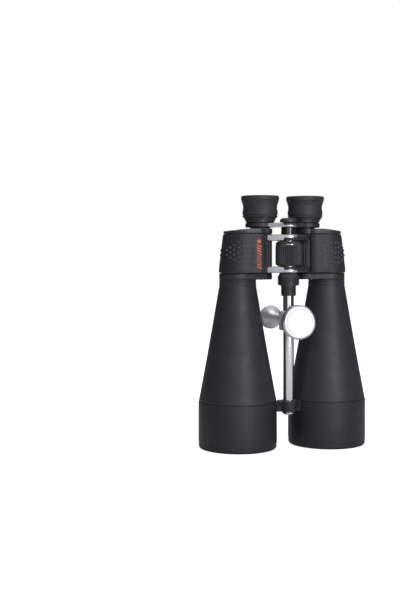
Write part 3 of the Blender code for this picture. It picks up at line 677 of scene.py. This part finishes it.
def armour(side, label):
    """The rubber that wraps a housing, with rounded edges and a raised grip panel."""
    low, high = ARMOUR_LOW, HOUSING_HIGH
    near = [0.0, 0.0001, 0.0003, 0.0006, ARMOUR_EDGE]
    heights = [low + d for d in near] + list(np.linspace(low + 0.0016, high - 0.0016, 40))
    heights += [high - d for d in near[::-1]]
    count = int(skin_length(low) / PATH_STEP)
    shares = [0.0, 0.0006, 0.0018, 0.0036, 0.0065] + list(np.linspace(0.010, 0.990, count))
    shares += [1 - s for s in shares[4::-1]]
    back_start = PANEL_START - ARMOUR_INNER
    rows_out, rows_in = [], []
    work = bmesh.new()
    for z in heights:
        total = skin_length(z)
        front_start = front_length(PANEL_START, z)
        out, inner = [], []
        for share in shares:
            length = total * share
            point, normal = skin_at(length, z, side)
            from_end, from_rim = min(length, total - length), min(z - low, high - z)
            inside = min(length - front_start, total - length - back_start)
            lift = PANEL_RISE * smooth(inside / PANEL_SLOPE) * smooth((from_rim - PANEL_RIM) / 0.0012)
            fall = max(round_off(from_end, ARMOUR_EDGE), round_off(from_rim, ARMOUR_EDGE))
            out.append(work.verts.new(point + normal * (lift - fall)))
            inner.append(work.verts.new(point - normal * RUBBER))
        rows_out.append(out)
        rows_in.append(inner)
    skin(work, rows_out, False, False)
    skin(work, rows_in, False, False)
    for k in (0, -1):
        skin(work, [rows_out[k], rows_in[k]], False, False)
        skin(work, [[row[k] for row in rows] for rows in (rows_out, rows_in)], False, False)
    show(finish_mesh(label + "_housing_skin", work), label + "_housing_armour")


def stand(work, point, normal, across, rows):
    """A small solid on a surface: each row is a height and the reaches of its vertices, one for a pole."""
    up = normal.cross(across)
    made = []
    for lift, reaches in rows:
        centre, step = point + normal * lift, 2 * pi / len(reaches)
        ways = [across * cos(step * i) + up * sin(step * i) for i in range(len(reaches))]
        made.append([work.verts.new(centre + way * reach) for way, reach in zip(ways, reaches)])
    skin(work, made, True, False)


def dome(work, point, normal):
    """A low rounded stud, with its foot sunk into the surface."""
    bends = [pi / 2 * i / DOT_RINGS for i in range(DOT_RINGS)]
    rows = [(-DOT_FOOT, [0.0]), (-DOT_FOOT, [DOT_R] * DOT_SIDES)]
    rows += [(DOT_RISE * sin(a), [DOT_R * cos(a)] * DOT_SIDES) for a in bends] + [(DOT_RISE, [0.0])]
    stand(work, point, normal, Vector((0.0, 0.0, 1.0)).cross(normal).normalized(), rows)


DOT_COUNTS = (5, 5, 5, 5, 4, 3, 2)  # studs in each column, from the hinge side outwards
DOT_PITCH = (0.0058, 0.0065)
DOT_START = 0.0517
DOT_R = 0.0016
DOT_RISE = 0.0015
DOT_FOOT = 0.0006
DOT_RINGS = 4
DOT_SIDES = 14


def studs(side, label):
    """The grip's studs: columns of rising dots that end in a point on the outer side, front and back."""
    middle = (ARMOUR_LOW + HOUSING_HIGH) / 2 + 0.0010
    work = bmesh.new()
    for column, count in enumerate(DOT_COUNTS):
        for row in range(count):
            z = middle + (row - (count - 1) / 2) * DOT_PITCH[1]
            across = column * DOT_PITCH[0]
            back = skin_length(z) - (DOT_START - ARMOUR_INNER) - across
            for length in (front_length(DOT_START, z) + across, back):
                point, normal = skin_at(length, z, side)
                dome(work, point + normal * PANEL_RISE, normal)
    # The studs take the lighter rubber, a painted highlight.
    detail(finish_mesh(label + "_grip_studs", work), label + "_half", "armour_rubber", "stud_rubber_painted_highlight")


MARK_AWAY = 0.0417
MARK_Z = (0.2322, 0.2708)
MARK_BARS = 9
MARK_HALF = 0.0030
MARK_SLANT = 0.0024
MARK_BAR = 0.0019
MARK_DISC_R = 0.0026
MARK_DISC_ROOM = 0.0070
MARK_DEPTHS = (-0.0003, 0.00012)  # its back, sunk in the rubber, and its face


def front_mark():
    """A plain printed mark: a disc over a column of slanting bars."""
    work = bmesh.new()
    shapes = [circle((0.0, MARK_Z[1] - MARK_DISC_R), MARK_DISC_R, 28)]
    pitch = (MARK_Z[1] - MARK_DISC_ROOM - MARK_Z[0]) / MARK_BARS
    for i in range(MARK_BARS):
        left = MARK_Z[0] + pitch * i
        right = left + MARK_SLANT
        lower = [(-MARK_HALF, left), (MARK_HALF, right)]
        shapes.append(lower + [(x, z + MARK_BAR) for x, z in lower[::-1]])
    for shape in shapes:
        spots = [skin_at(front_length(MARK_AWAY, z) + x, z, -1) for x, z in shape]
        rows = [[work.verts.new(point + normal * d) for point, normal in spots] for d in MARK_DEPTHS]
        skin(work, rows, True, False)
        work.faces.new(rows[0])
        work.faces.new(rows[1][::-1])
    detail(finish_mesh("left_front_mark", work), "left_half", "armour_rubber", "mark")


def housing_outline(share, inset, inner, steps=40, ribs=0):
    """A housing's outline at a share of its height, closed by half an ellipse towards the hinge.

    The ribs are upright grooves down that rounded side.
    """
    path = rounded(outline_corners(share, inset), closed=False, steps=16)
    front, back = path[0][1], path[-1][1]
    middle, depth = (front + back) / 2, (back - front) / 2
    crown = ARMOUR_INNER - inner
    for i in range(1, steps):
        turn = pi * i / steps
        dip = RIB_DEPTH * max(0.0, sin(turn * ribs)) if ribs else 0.0
        reach, wide = crown - dip, depth - dip
        path.append((ARMOUR_INNER - reach * sin(turn), middle + wide * cos(turn)))
    return path


def housing(side, label):
    """The metal box inside the rubber; its rounded inner side shows beside the hinge."""
    under = RUBBER + GAP
    work = bmesh.new()
    rings = []
    for inset, inner in ((under, HOUSING_INNER), (under + RUBBER, HOUSING_INNER + RUBBER)):
        levels = [0.0, 0.008, 0.18, 0.19, 0.81, 0.82, 0.992, 1.0] if inset == under else [1.0, 0.0]
        for share in levels:
            bevel = 0.0004 if share in (0.0, 1.0) and inset == under else 0.0
            z = HOUSING_LOW + share * (HOUSING_HIGH - HOUSING_LOW)
            ribs = RIB_COUNT if 0.185 < share < 0.815 else 0
            outline = housing_outline(share, inset + bevel, inner + bevel, 224, ribs)
            rings.append([work.verts.new(at_hinge((side * x, y), z)) for x, y in outline])
    skin(work, rings, True, True)
    show(finish_mesh(label + "_prism_box", work), label + "_prism_housing")


COVER_SLOPE = radians(6.5)
COVER_CREASE = 0.0485
COVER_SCREWS = ((0.0700, 0.0070), (0.0700, 0.0395), (0.0545, 0.0465), (0.0545, -0.0004))  # away, y
FLANGE_SCREWS = ((0.0225, 0.0300), (0.0225, 0.0152), (0.0345, 0.0386), (0.0345, 0.0066))
FLANGE_HOLE_R = 0.0193
FLANGE_END_R = 0.0180  # its rounded end beside the hinge
EYE_BORE_R = 0.0133  # of the cover, and of the rings that carry the eyepieces


def cut_flat(piece, point, normal):
    """Cuts off what lies beyond a plane and closes the cut."""
    work = bmesh.new()
    work.from_mesh(piece.data)
    parts = work.verts[:] + work.edges[:] + work.faces[:]
    cut = bmesh.ops.bisect_plane(work, geom=parts, plane_co=point, plane_no=normal, clear_outer=True)
    rim = [item for item in cut["geom_cut"] if isinstance(item, bmesh.types.BMEdge)]
    bmesh.ops.holes_fill(work, edges=rim)
    bmesh.ops.recalc_face_normals(work, faces=work.faces)
    work.to_mesh(piece.data)
    work.free()
    piece.data.set_sharp_from_angle(angle=SHARP)


def cover(side, label):
    low, high = span(label + "_top_plate")
    rim = on_side(side, housing_outline(1.0, 0.0003, HOUSING_INNER))
    hole = circle((side * EYEPIECE.x, EYEPIECE.y), EYE_BORE_R)
    piece = plate(label + "_cover", [rim, hole], low, high, 0.0009)
    crease = Vector(at_hinge((side * COVER_CREASE, OBJECTIVE.y), high))
    cut_flat(piece, crease, Vector((side * sin(COVER_SLOPE), 0.0, cos(COVER_SLOPE))))
    show(piece, label + "_top_plate")


def flange(side, label):
    end = (HOUSING_INNER + FLANGE_END_R, EYEPIECE.y, FLANGE_END_R)
    rim = on_side(side, hull((OBJECTIVE.x, OBJECTIVE.y, NECK_R), end))
    hole = circle((side * OBJECTIVE.x, OBJECTIVE.y), FLANGE_HOLE_R)
    piece = plate(label + "_flange", [rim, hole], *span(label + "_bottom_plate"), 0.0008)
    show(piece, label + "_bottom_plate")


HEAD_R = 0.0019
HEAD_FOOT, HEAD_FACE, HEAD_PIT = -0.0010, 0.0003, -0.0003  # heights on a screw head
HEAD_STAR = (0.55, 0.34, 0.17, 0.17, 0.17, 0.34)  # the cross slot's reach, a quarter of the way round


def cross_screw(work, point, normal):
    """A small countersunk screw head with a cross slot, set in a surface."""
    star = [HEAD_R * share for share in HEAD_STAR * 4]
    profile = ((HEAD_FOOT, 1.0), (0.00005, 1.0), (0.00025, 0.85), (HEAD_FACE, 0.62))
    rows = [(HEAD_FOOT, [0.0])] + [(lift, [HEAD_R * share] * len(star)) for lift, share in profile]
    rows += [(HEAD_FACE, star), (HEAD_PIT, star), (HEAD_PIT, [0.0])]
    stand(work, point, normal, normal.orthogonal().normalized(), rows)


def screws(side, label):
    """Cover screws on top, and flange screws underneath."""
    work = bmesh.new()
    top = high_z(label + "_top_plate")
    slope = Vector((side * sin(COVER_SLOPE), 0.0, cos(COVER_SLOPE)))
    for away, y in COVER_SCREWS:
        drop = (away - COVER_CREASE) * tan(COVER_SLOPE)
        cross_screw(work, Vector(at_hinge((side * away, y), top - drop)), slope)
    under = low_z(label + "_bottom_plate")
    for away, y in FLANGE_SCREWS:
        cross_screw(work, Vector(at_hinge((side * away, y), under)), Vector((0.0, 0.0, -1.0)))
    detail(finish_mesh(label + "_screws", work), label + "_half", "steel")


# ---- hinge and column

KNUCKLE_R = 0.0140
KNUCKLE_ROOM = 0.0005  # between a knuckle and what is cut away round it
LUG_BACK = (0.0165, 0.0130)  # where a lug's back corner stands
LUG_TIP_R = 0.0024
SHAFT_R = 0.0110
ROD_R = 0.0070
COLLAR_R = (0.0100, 0.0143)  # below and above its step
COLLAR_STEP = 0.2110
END_CAP_DOME = 0.0030
WHEEL_RIBS = 36
WHEEL_RIB_DEPTH = 0.0013
BRACE_R = 0.0115
BRACE_REACH = 0.0205  # from the rod to the middle of the arm's end
BRACE_ENDS_R = (0.0100, 0.0052)


def lugs(side, label):
    """Two lugs: the left half's knuckles are the outer pair and the right half's the inner pair."""
    far = (ARMOUR_INNER - GAP - LUG_TIP_R, HOUSING_FRONT[0] + SHOULDER + LUG_TIP_R, LUG_TIP_R)
    circles = ((0.0, 0.0, KNUCKLE_R), (*LUG_BACK, LUG_TIP_R), far)
    for word in ("lower", "upper"):
        node = f"{label}_{word}_lug"
        low, high = span(node)
        piece = slab(node + "_arm", side, circles, round_edges(low, high, 0.0020))
        bore(piece, SHAFT_R + GAP, low, high)
        halve(piece, KNUCKLE_R, low, high, (side < 0) == (word == "lower"))
        room = on_side(side, housing_outline(0.0, RUBBER, HOUSING_INNER - GAP))
        carve(piece, plate("room", [room], low - OVERCUT, high + OVERCUT))
        show(piece, node)


def ridged(radius, low, high, count, depth):
    """Corners down a cylinder that carries rounded grooves all round."""
    pitch = (high - low) / count
    groove = ((0.10, 0.0), (0.55, 0.0), (0.70, depth), (0.88, depth))
    tops = [high - i * pitch for i in range(count)]
    return [(radius - dip, top - pitch * share, 0.0002) for top in tops for share, dip in groove]


def brace(side, label):
    """The arm that joins a barrel's lower end to the rod."""
    node = label + "_brace_arm"
    low, high = span(node)
    reach = OBJECTIVE.normalized() * BRACE_REACH
    circles = ((0.0, 0.0, BRACE_ENDS_R[0]), (reach.x, reach.y, BRACE_ENDS_R[1]))
    arm = slab(node + "_web", side, circles, ridge_levels(low + 0.0003, high - 0.0003, 4, 0.0007, 0.0008))
    halve(arm, BRACE_R, low, high, side > 0)
    middle = (low + high) / 2
    ring_low, ring_high = (middle + GAP / 2, high) if side < 0 else (low, middle - GAP / 2)
    ring = [
        (0.0, ring_high), (BRACE_R - 0.0006, ring_high, 0.0004),
        *ridged(BRACE_R, ring_low + 0.0004, ring_high - 0.0004, 3, 0.0010),
        (BRACE_R - 0.0006, ring_low, 0.0004), (0.0, ring_low),
    ]
    carve(arm, turned(node + "_ring", ring, at_hinge(), 96), "UNION")
    bore(arm, ROD_R + GAP, low, high)
    bore(arm, BARREL_R + GAP, low, high, (side * OBJECTIVE.x, OBJECTIVE.y))
    show(arm, node)


def column():
    show(turned("chrome_rod", rod_line(ROD_R, *span("rod"), 0.0005), at_hinge()), "rod")

    low, high = span("hinge_collar")
    (small, large), step = COLLAR_R, COLLAR_STEP
    collar = [
        (large - 0.0030, high, 0.0005), (large - 0.0004, high - 0.0046, 0.0008),
        *ridged(large, step + 0.0012, high - 0.0054, 5, 0.0009), (large - 0.0010, step, 0.0006),
        (small, step, 0.0004), *ridged(small, low + 0.0008, step - 0.0010, 6, 0.0008),
        (small - 0.0006, low, 0.0004), (ROD_R + GAP, low), (ROD_R + GAP, high),
    ]
    show(turned("ridged_collar", collar, at_hinge()), "hinge_collar")

    low, high = span("rod_end_cap")
    radius = radius_of("rod_end_cap")
    bends = np.linspace(pi / 2, 0.0, 9)
    dome_line = [(radius * sin(a), low + END_CAP_DOME * (1 - cos(a)), 0.0) for a in bends[:-1]]
    cap = [(0.0, high, 0.0), (radius, high, 0.0003), *dome_line, (0.0, low, 0.0)]
    show(turned("end_cap", cap, at_hinge()), "rod_end_cap")


def focus_wheel():
    core_r = radius_of("wheel_core")
    core = tube_line(core_r, SHAFT_R + GAP, *span("wheel_core"), 0.0004, 0.0002)
    show(turned("wheel_hub", core, at_hinge()), "wheel_core")
    low, high = span("wheel_grip")
    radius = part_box("wheel_grip")[1].x - HINGE.x
    grip = [
        (core_r + GAP, high, 0.0002), (radius - 0.0022, high, 0.0005),
        (radius - 0.0003, high - 0.0022, 0.0006), (radius - 0.0003, high - 0.0030, 0.0003),
        (radius - 0.0009, high - 0.0034, 0.0002), (radius - 0.0009, high - 0.0042, 0.0002),
        (radius, high - 0.0046, 0.0003, 0.6), (radius, high - 0.0060, 0.0, 1.0),
        (radius, low + 0.0036, 0.0, 1.0), (radius, low + 0.0024, 0.0004, 0.6),
        (radius - 0.0016, low, 0.0006), (core_r + GAP, low, 0.0002),
    ]
    ribs = {"ribs": WHEEL_RIBS, "depth": WHEEL_RIB_DEPTH}
    show(turned("ribbed_grip", grip, at_hinge(), WHEEL_RIBS * 10, **ribs), "wheel_grip")
    middle = high - 0.0038
    ring = tube_line(radius - 0.00035, radius - 0.0012, middle - 0.0003, middle + 0.0003, 0.0001)
    detail(turned("wheel_ring", ring, at_hinge()), "focus_wheel", "chrome")


def spindle():
    low, high = span("focus_spindle")
    radius, shoulder = radius_of("focus_spindle"), low_z("left_bridge_arm") - GAP
    rod = [
        (0.0, high), (PIN_R, high, 0.0003), (PIN_R, shoulder, 0.0002), (radius, shoulder, 0.0007),
        (radius, low, 0.0004), (0.0, low),
    ]
    show(turned("spindle_post", rod, at_hinge()), "focus_spindle")
    low, high = span("bridge_cap")
    radius = radius_of("bridge_cap")
    cap = [
        (0.0, high - 0.0007), (radius * 0.50, high - 0.0007, 0.0003), (radius * 0.55, high, 0.0004),
        (radius * 0.74, high - 0.0003, 0.0030), (radius, high - 0.0028, 0.0022),
        (radius, low + 0.0007, 0.0002), (radius - 0.0004, low, 0.0002), (0.0, low),
    ]
    show(turned("bridge_button", cap, at_hinge()), "bridge_cap")


# ---- eyepieces

PIN_R = 0.0070
BRIDGE_KNUCKLE_R = 0.0118
BRIDGE_RING_R = 0.0193
BRIDGE_BENDS = ((0.0168, 0.0064, 0.0060), (0.0260, 0.0060, 0.0025))  # away, y and radius
OCULAR_R = (0.0118, 0.0130)  # inside and outside of the eyepiece's tube
OCULAR_LIP = 0.0013  # how far the cup's ring reaches in over the tube's shoulder
EYE_WALL = 0.0016
EYE_SAGS = (0.0005, 0.0018)  # how far an eye lens's faces fall back, below and above


def bridge_arm(side, label):
    """The arm from the spindle to an eyepiece, and the black ring that carries the eyepiece."""
    node = label + "_bridge_arm"
    low, high = span(node)
    axis = (side * EYEPIECE.x, EYEPIECE.y)
    circles = ((0.0, 0.0, BRIDGE_KNUCKLE_R), *BRIDGE_BENDS)
    arm = slab(node + "_bar", side, circles, round_edges(low, high, 0.0015))
    bore(arm, PIN_R + GAP, low, high)
    bore(arm, BRIDGE_RING_R + GAP, low, high, axis)
    halve(arm, BRIDGE_KNUCKLE_R, low, high, side < 0)
    show(arm, node)
    ring = [
        (BRIDGE_RING_R - 0.0003, high, 0.0006), (BRIDGE_RING_R, high - 0.0011, 0.0004),
        (BRIDGE_RING_R, low + 0.0011, 0.0004), (BRIDGE_RING_R - 0.0003, low, 0.0006),
        (EYE_BORE_R, low, 0.0002), (EYE_BORE_R, high, 0.0002),
    ]
    detail(turned(label + "_eye_ring", ring, at_hinge(axis)), BODY[node], "black_aluminium")


CUP_LINE = (  # height above the cup's foot, radius of its outer side, and fillet
    (0.0000, 0.0219, 0.0006), (0.0010, 0.0227, 0.0008), (0.0024, 0.0230, 0.0004),
    (0.0028, 0.0223, 0.0002), (0.0035, 0.0223, 0.0002), (0.0040, 0.0231, 0.0004),
    (0.0080, 0.0231, 0.0030), (0.0118, 0.0223, 0.0040), (0.0157, 0.0224, 0.0040),
    (0.0192, 0.0234, 0.0030), (0.0212, 0.0243, 0.0005), (0.0217, 0.0238, 0.0002),
    (0.0223, 0.0241, 0.0002), (0.0229, 0.0250, 0.0006), (0.0275, 0.0250, 0.0014),
)
CUP_MOUTH = (  # depth below its top, radius of its inner side, and fillet
    (0.0000, 0.0244, 0.0007), (0.0000, 0.0222, 0.0008), (0.0016, 0.0216, 0.0010),
    (0.0042, 0.0206, 0.0004), (0.0046, 0.0202, 0.0003), (0.0080, 0.0196, 0.0060),
    (0.0146, 0.0182, 0.0010), (0.0156, 0.0172, 0.0005),
)
CUP_SEAT = 0.0158  # depth of the mouth


def eyepiece(label):
    centre = at_hinge(plan_centre(label + "_eyecup"))
    node = label + "_ocular_tube"
    low, tube_top = span(node)
    inside, outside = OCULAR_R
    shoulder = high_z("right_bridge_arm") + GAP
    ring = radius_of(node) - OCULAR_LIP
    tube = [
        (ring - 0.0003, tube_top, 0.0004), (ring, tube_top - 0.0007, 0.0004),
        (ring - 0.0002, shoulder, 0.0003), (outside, shoulder, 0.0002), (outside, low, 0.0003),
        (inside, low, 0.0002), (inside, tube_top, 0.0002),
    ]
    show(turned(label + "_eyepiece_tube", tube, centre), node)

    node = label + "_eye_cell"
    low, high = span(node)
    cell_r, glass_r = radius_of(node), inside - GAP
    shelf = low_z(label + "_eyecup_base")
    cell = [
        (cell_r, high, 0.0003), (cell_r, shelf), (glass_r, shelf), (glass_r, low, 0.0002),
        (glass_r - EYE_WALL, low, 0.0002), (glass_r - EYE_WALL, shelf + EYE_WALL, 0.0002),
        (cell_r - EYE_WALL, shelf + EYE_WALL, 0.0002), (cell_r - EYE_WALL, high - 0.0012, 0.0001),
        (cell_r - EYE_WALL + 0.0008, high, 0.0002),
    ]
    show(turned(label + "_lens_barrel", cell, centre), node)

    node = label + "_eye_lens"
    show(turned(label + "_rear_lens", lens_line(radius_of(node), *span(node), *EYE_SAGS), centre), node)

    node = label + "_eyecup_base"
    low, high = span(node)
    base = [
        (0.0213, high, 0.0003), (0.0210, high - 0.0009, 0.0004), (0.0203, high - 0.0012, 0.0002),
        (0.0203, high - 0.0017, 0.0002), (0.0205, high - 0.0020, 0.0004),
        (ring + OCULAR_LIP, low + 0.0004, 0.0008), (ring + OCULAR_LIP, tube_top - GAP, 0.0003),
        (ring + GAP, tube_top - GAP, 0.0002), (ring + GAP, low), (cell_r + GAP, low),
        (cell_r + GAP, high),
    ]
    show(turned(label + "_cup_ring", base, centre), node)

    node = label + "_eyecup"
    low, high = span(node)
    cup = [(radius, low + height, fillet) for height, radius, fillet in CUP_LINE]
    cup += [(radius, high - depth, fillet) for depth, radius, fillet in CUP_MOUTH]
    cup += [(cell_r + GAP, high - CUP_SEAT, 0.0003), (cell_r + GAP, low, 0.0)]
    show(turned(label + "_cup", cup, centre), node)


# ---- tripod adapter

BOSS_R = 0.0085
BUSH_R = 0.0083
SCREW_R = 0.0030
SCREW_PITCH = 0.0008
SCREW_WAY = 0.03  # length of the hole for the screw
POST_R = 0.0070
POST_LENGTH = 0.0240  # from its neck to the back of its foot
FOOT_R = 0.0160
SEAT = (0.0053, 0.0123)  # radius and depth of the hole for the socket insert
SOCKET_R = (0.003175, 0.003575, 0.0050)  # crest and root of its thread, and its outside
SOCKET_TURNS = 9
KNOB_RIBS = 60


def tripod_adapter():
    low, high = span("clamp_collar")
    radius = radius_of("clamp_collar")
    front, back = across_y("clamp_collar")
    middle = at_hinge(height=ADAPTER_Z)
    body = [
        (0.0, high), (radius - 0.0008, high, 0.0008), (radius, high - 0.0016, 0.0010),
        (radius, low + 0.0016, 0.0010), (radius - 0.0008, low, 0.0008), (0.0, low),
    ]
    collar = turned("clamp_sleeve", body, at_hinge(), 128)
    boss = turned("boss", rod_line(BOSS_R, front, back, 0.0008), middle, 96, lying=True)
    carve(collar, boss, "UNION")
    way = turned("way", rod_line(SCREW_R + GAP, -SCREW_WAY, 0.0), middle, 48, lying=True)
    carve(collar, way)
    bore(collar, BUSH_R + GAP, low, high)
    show(collar, "clamp_collar", "pale_metal")

    bush = tube_line(BUSH_R, ROD_R + GAP, *span("clamp_bush"), 0.0003, 0.0002)
    show(turned("bush_sleeve", bush, at_hinge()), "clamp_bush")
    tripod_foot(middle, back)

    tip, tail = across_y("clamp_screw")
    screw = [(0.0, tail, 0.0), (SCREW_R - 0.0005, tail, 0.0), (SCREW_R, tail - 0.0006, 0.0)]
    y = tail - 0.0010
    while y > tip + 0.0010:
        screw += [(SCREW_R, y, 0.0), (SCREW_R - 0.0004, y - 0.0004, 0.0)]
        y -= SCREW_PITCH
    screw += [(SCREW_R - 0.0004, tip, 0.0), (0.0, tip, 0.0)]
    show(turned("clamp_thread", screw, middle, 64, lying=True), "clamp_screw")
    clamp_knob(middle)


def tripod_foot(middle, boss_back):
    """The post behind the clamp, with its flared foot, and the threaded insert in it."""
    _, back = across_y("adapter_post")
    neck, start = back - POST_LENGTH, boss_back + GAP
    post = [
        (0.0, back - SEAT[1]), (SEAT[0], back - SEAT[1]), (SEAT[0], back, 0.0003),
        (FOOT_R, back, 0.0008), (FOOT_R, back - 0.0036, 0.0008),
        (FOOT_R * 0.80, back - 0.0068, 0.0030), (FOOT_R * 0.60, back - 0.0125, 0.0080),
        (FOOT_R * 0.50, neck + 0.006, 0.0060), (POST_R, neck, 0.0040),
        (POST_R, boss_back + 0.0017, 0.0003), (POST_R - 0.0006, boss_back + 0.0011, 0.0002),
        (POST_R - 0.0006, start), (0.0, start),
    ]
    show(turned("foot_post", post, middle, lying=True), "adapter_post", "pale_metal")

    front, back = across_y("socket_insert")
    crest, root, outside = SOCKET_R
    pitch = (back - front - 0.0006) / SOCKET_TURNS
    insert = [(outside, back, 0.0003), (outside, front, 0.0), (crest, front, 0.0)]
    for i in range(SOCKET_TURNS)[::-1]:
        y = back - 0.0003 - pitch * i
        insert += [(root, y - pitch * 0.75, 0.0), (crest, y - pitch * 0.25, 0.0)]
    insert.append((0.0034, back, 0.0))
    show(turned("thread_insert", insert, middle, 96, lying=True), "socket_insert")


def clamp_knob(middle):
    front, hub_back = across_y("clamp_knob")
    radius = radius_of("clamp_knob")
    rim_back = front + 0.0100
    hub = 0.0090
    knob = [
        (0.0, front + 0.0050), (SCREW_R + GAP, front + 0.0050), (SCREW_R + GAP, hub_back, 0.0002),
        (hub, hub_back, 0.0005), (hub, rim_back + 0.0016, 0.0005), (hub + 0.0020, rim_back, 0.0010),
        (radius - 0.0012, rim_back, 0.0006), (radius, rim_back - 0.0014, 0.0005, 0.4),
        (radius, rim_back - 0.0022, 0.0, 1.0), (radius, front + 0.0026, 0.0, 1.0),
        (radius, front + 0.0018, 0.0006, 0.4), (radius - 0.0020, front, 0.0010),
        (radius - 0.0042, front, 0.0004), (radius - 0.0050, front + 0.0003, 0.0010),
        (0.0, front + 0.0003),
    ]
    ribs = {"lying": True, "ribs": KNOB_RIBS, "depth": 0.0003}
    show(turned("hand_knob", knob, middle, KNOB_RIBS * 6, **ribs), "clamp_knob")


# ---- the set

COOL = (0.97, 0.995, 1.03)
NEUTRAL = (1.0, 1.0, 1.0)
PANELS = (  # name, azimuth from the front, distance, height, height aimed at, size, power, colour
    ("front", -4, 1.9, 0.72, 0.16, (2.9, 1.7), 16.0, COOL),
    ("key", 10, 1.7, 0.62, 0.16, (0.36, 1.5), 13.5, COOL),
    ("left_fill", -75, 1.4, 1.7, 0.16, (0.9, 0.9), 2.0, NEUTRAL),
    ("right_fill", 85, 1.4, 1.6, 0.16, (0.9, 0.9), 3.0, NEUTRAL),
    ("back_fill", 178, 1.5, 1.6, 0.16, (1.2, 0.9), 14.0, NEUTRAL),
    ("overhead", 0, 0.1, 1.9, 0.0, (1.8, 1.8), 10.0, NEUTRAL),
)
FLOOR_HALF = 14.0
LENS, SENSOR = 58.84, 36.0  # millimetres
CAMERA_SHIFT = -0.077
CAMERA_SPOT = (-0.4336, -1.2197, 0.2521)
CAMERA_TURN = radians(-14.653)


def lights():
    for name, azimuth, distance, height, aim, size, power, colour in PANELS:
        data = bpy.data.lights.new(name, "AREA")
        data.shape = "RECTANGLE"
        data.size, data.size_y = size
        data.energy, data.color = power, colour
        light = placed(name, data)
        turn = radians(azimuth)
        light.location = (distance * sin(turn), -distance * cos(turn), height)
        way = Vector((0.0, 0.0, aim)) - light.location
        light.rotation_euler = way.to_track_quat("-Z", "Y").to_euler()
        light.visible_camera = False


def by_viewer(tree, seen, thrown, out):
    """One shader for what the camera sees, and another for the light that is thrown back."""
    ray, mix = tree.nodes.new("ShaderNodeLightPath"), tree.nodes.new("ShaderNodeMixShader")
    sources = (ray.outputs["Is Camera Ray"], thrown.outputs[0], seen.outputs[0])
    for source, socket in zip(sources, mix.inputs):
        tree.links.new(source, socket)
    tree.links.new(mix.outputs[0], out.inputs["Surface"])


def world():
    """White to the camera, and a dim even grey for the light it gives."""
    made = bpy.data.worlds.new("studio")
    bpy.context.scene.world = made
    made.use_nodes = True
    nodes = made.node_tree.nodes
    nodes.clear()
    white, grey = nodes.new("ShaderNodeBackground"), nodes.new("ShaderNodeBackground")
    fill(white, color=WHITE)
    fill(grey, color=(0.80, 0.84, 0.90, 1.0), strength=0.07)
    by_viewer(made.node_tree, white, grey, nodes.new("ShaderNodeOutputWorld"))


def floor():
    """A pale floor: near white to the camera, and a mid grey for the light it throws back."""
    work = bmesh.new()
    corners = ((-1, -1), (1, -1), (1, 1), (-1, 1))
    work.faces.new([work.verts.new((x * FLOOR_HALF, y * FLOOR_HALF, 0.0)) for x, y in corners])
    piece = finish_mesh("floor", work)
    made = Finish("floor", roughness=0.65, specular_ior_level=0.1, emission_color=WHITE)
    distance = made.node("VectorMath", operation="LENGTH")
    made.link(made.place, distance.inputs[0])
    glow = made.spread(distance.outputs["Value"], 0.20, 1.10, 0.74, 1.04)
    made.link(glow, made.shader.inputs["Emission Strength"])
    made.colour(made.blend(made.patches(3.0, 3.0, 0.3, 0.7), (0.80, 0.80, 0.80), (0.83, 0.83, 0.83)))
    thrown, ray = made.node("BsdfDiffuse"), made.node("LightPath")
    mirrored = made.blend(ray.outputs["Is Glossy Ray"], (0.28, 0.28, 0.28), (0.85, 0.85, 0.85))
    made.link(mirrored, thrown.inputs["Color"])
    out = made.tree.nodes["Material Output"]
    by_viewer(made.tree, made.shader, thrown, out)
    piece.data.materials.append(made.material)


def camera():
    data = bpy.data.cameras.new("camera")
    data.lens, data.sensor_width, data.shift_y = LENS, SENSOR, CAMERA_SHIFT
    seat = placed("camera", data)
    seat.location = CAMERA_SPOT
    seat.rotation_euler = (radians(90.0), 0.0, CAMERA_TURN)
    bpy.context.scene.camera = seat


# ---- assembly

for side, label in ((-1, "left"), (1, "right")):
    for make in (barrel, housing, armour, studs, cover, flange, screws, lugs, brace, bridge_arm):
        make(side, label)
    eyepiece(label)
for make in (front_mark, column, focus_wheel, spindle, tripod_adapter, lights, world, floor, camera):
    make()
bpy.context.scene.view_settings.view_transform = "Standard"
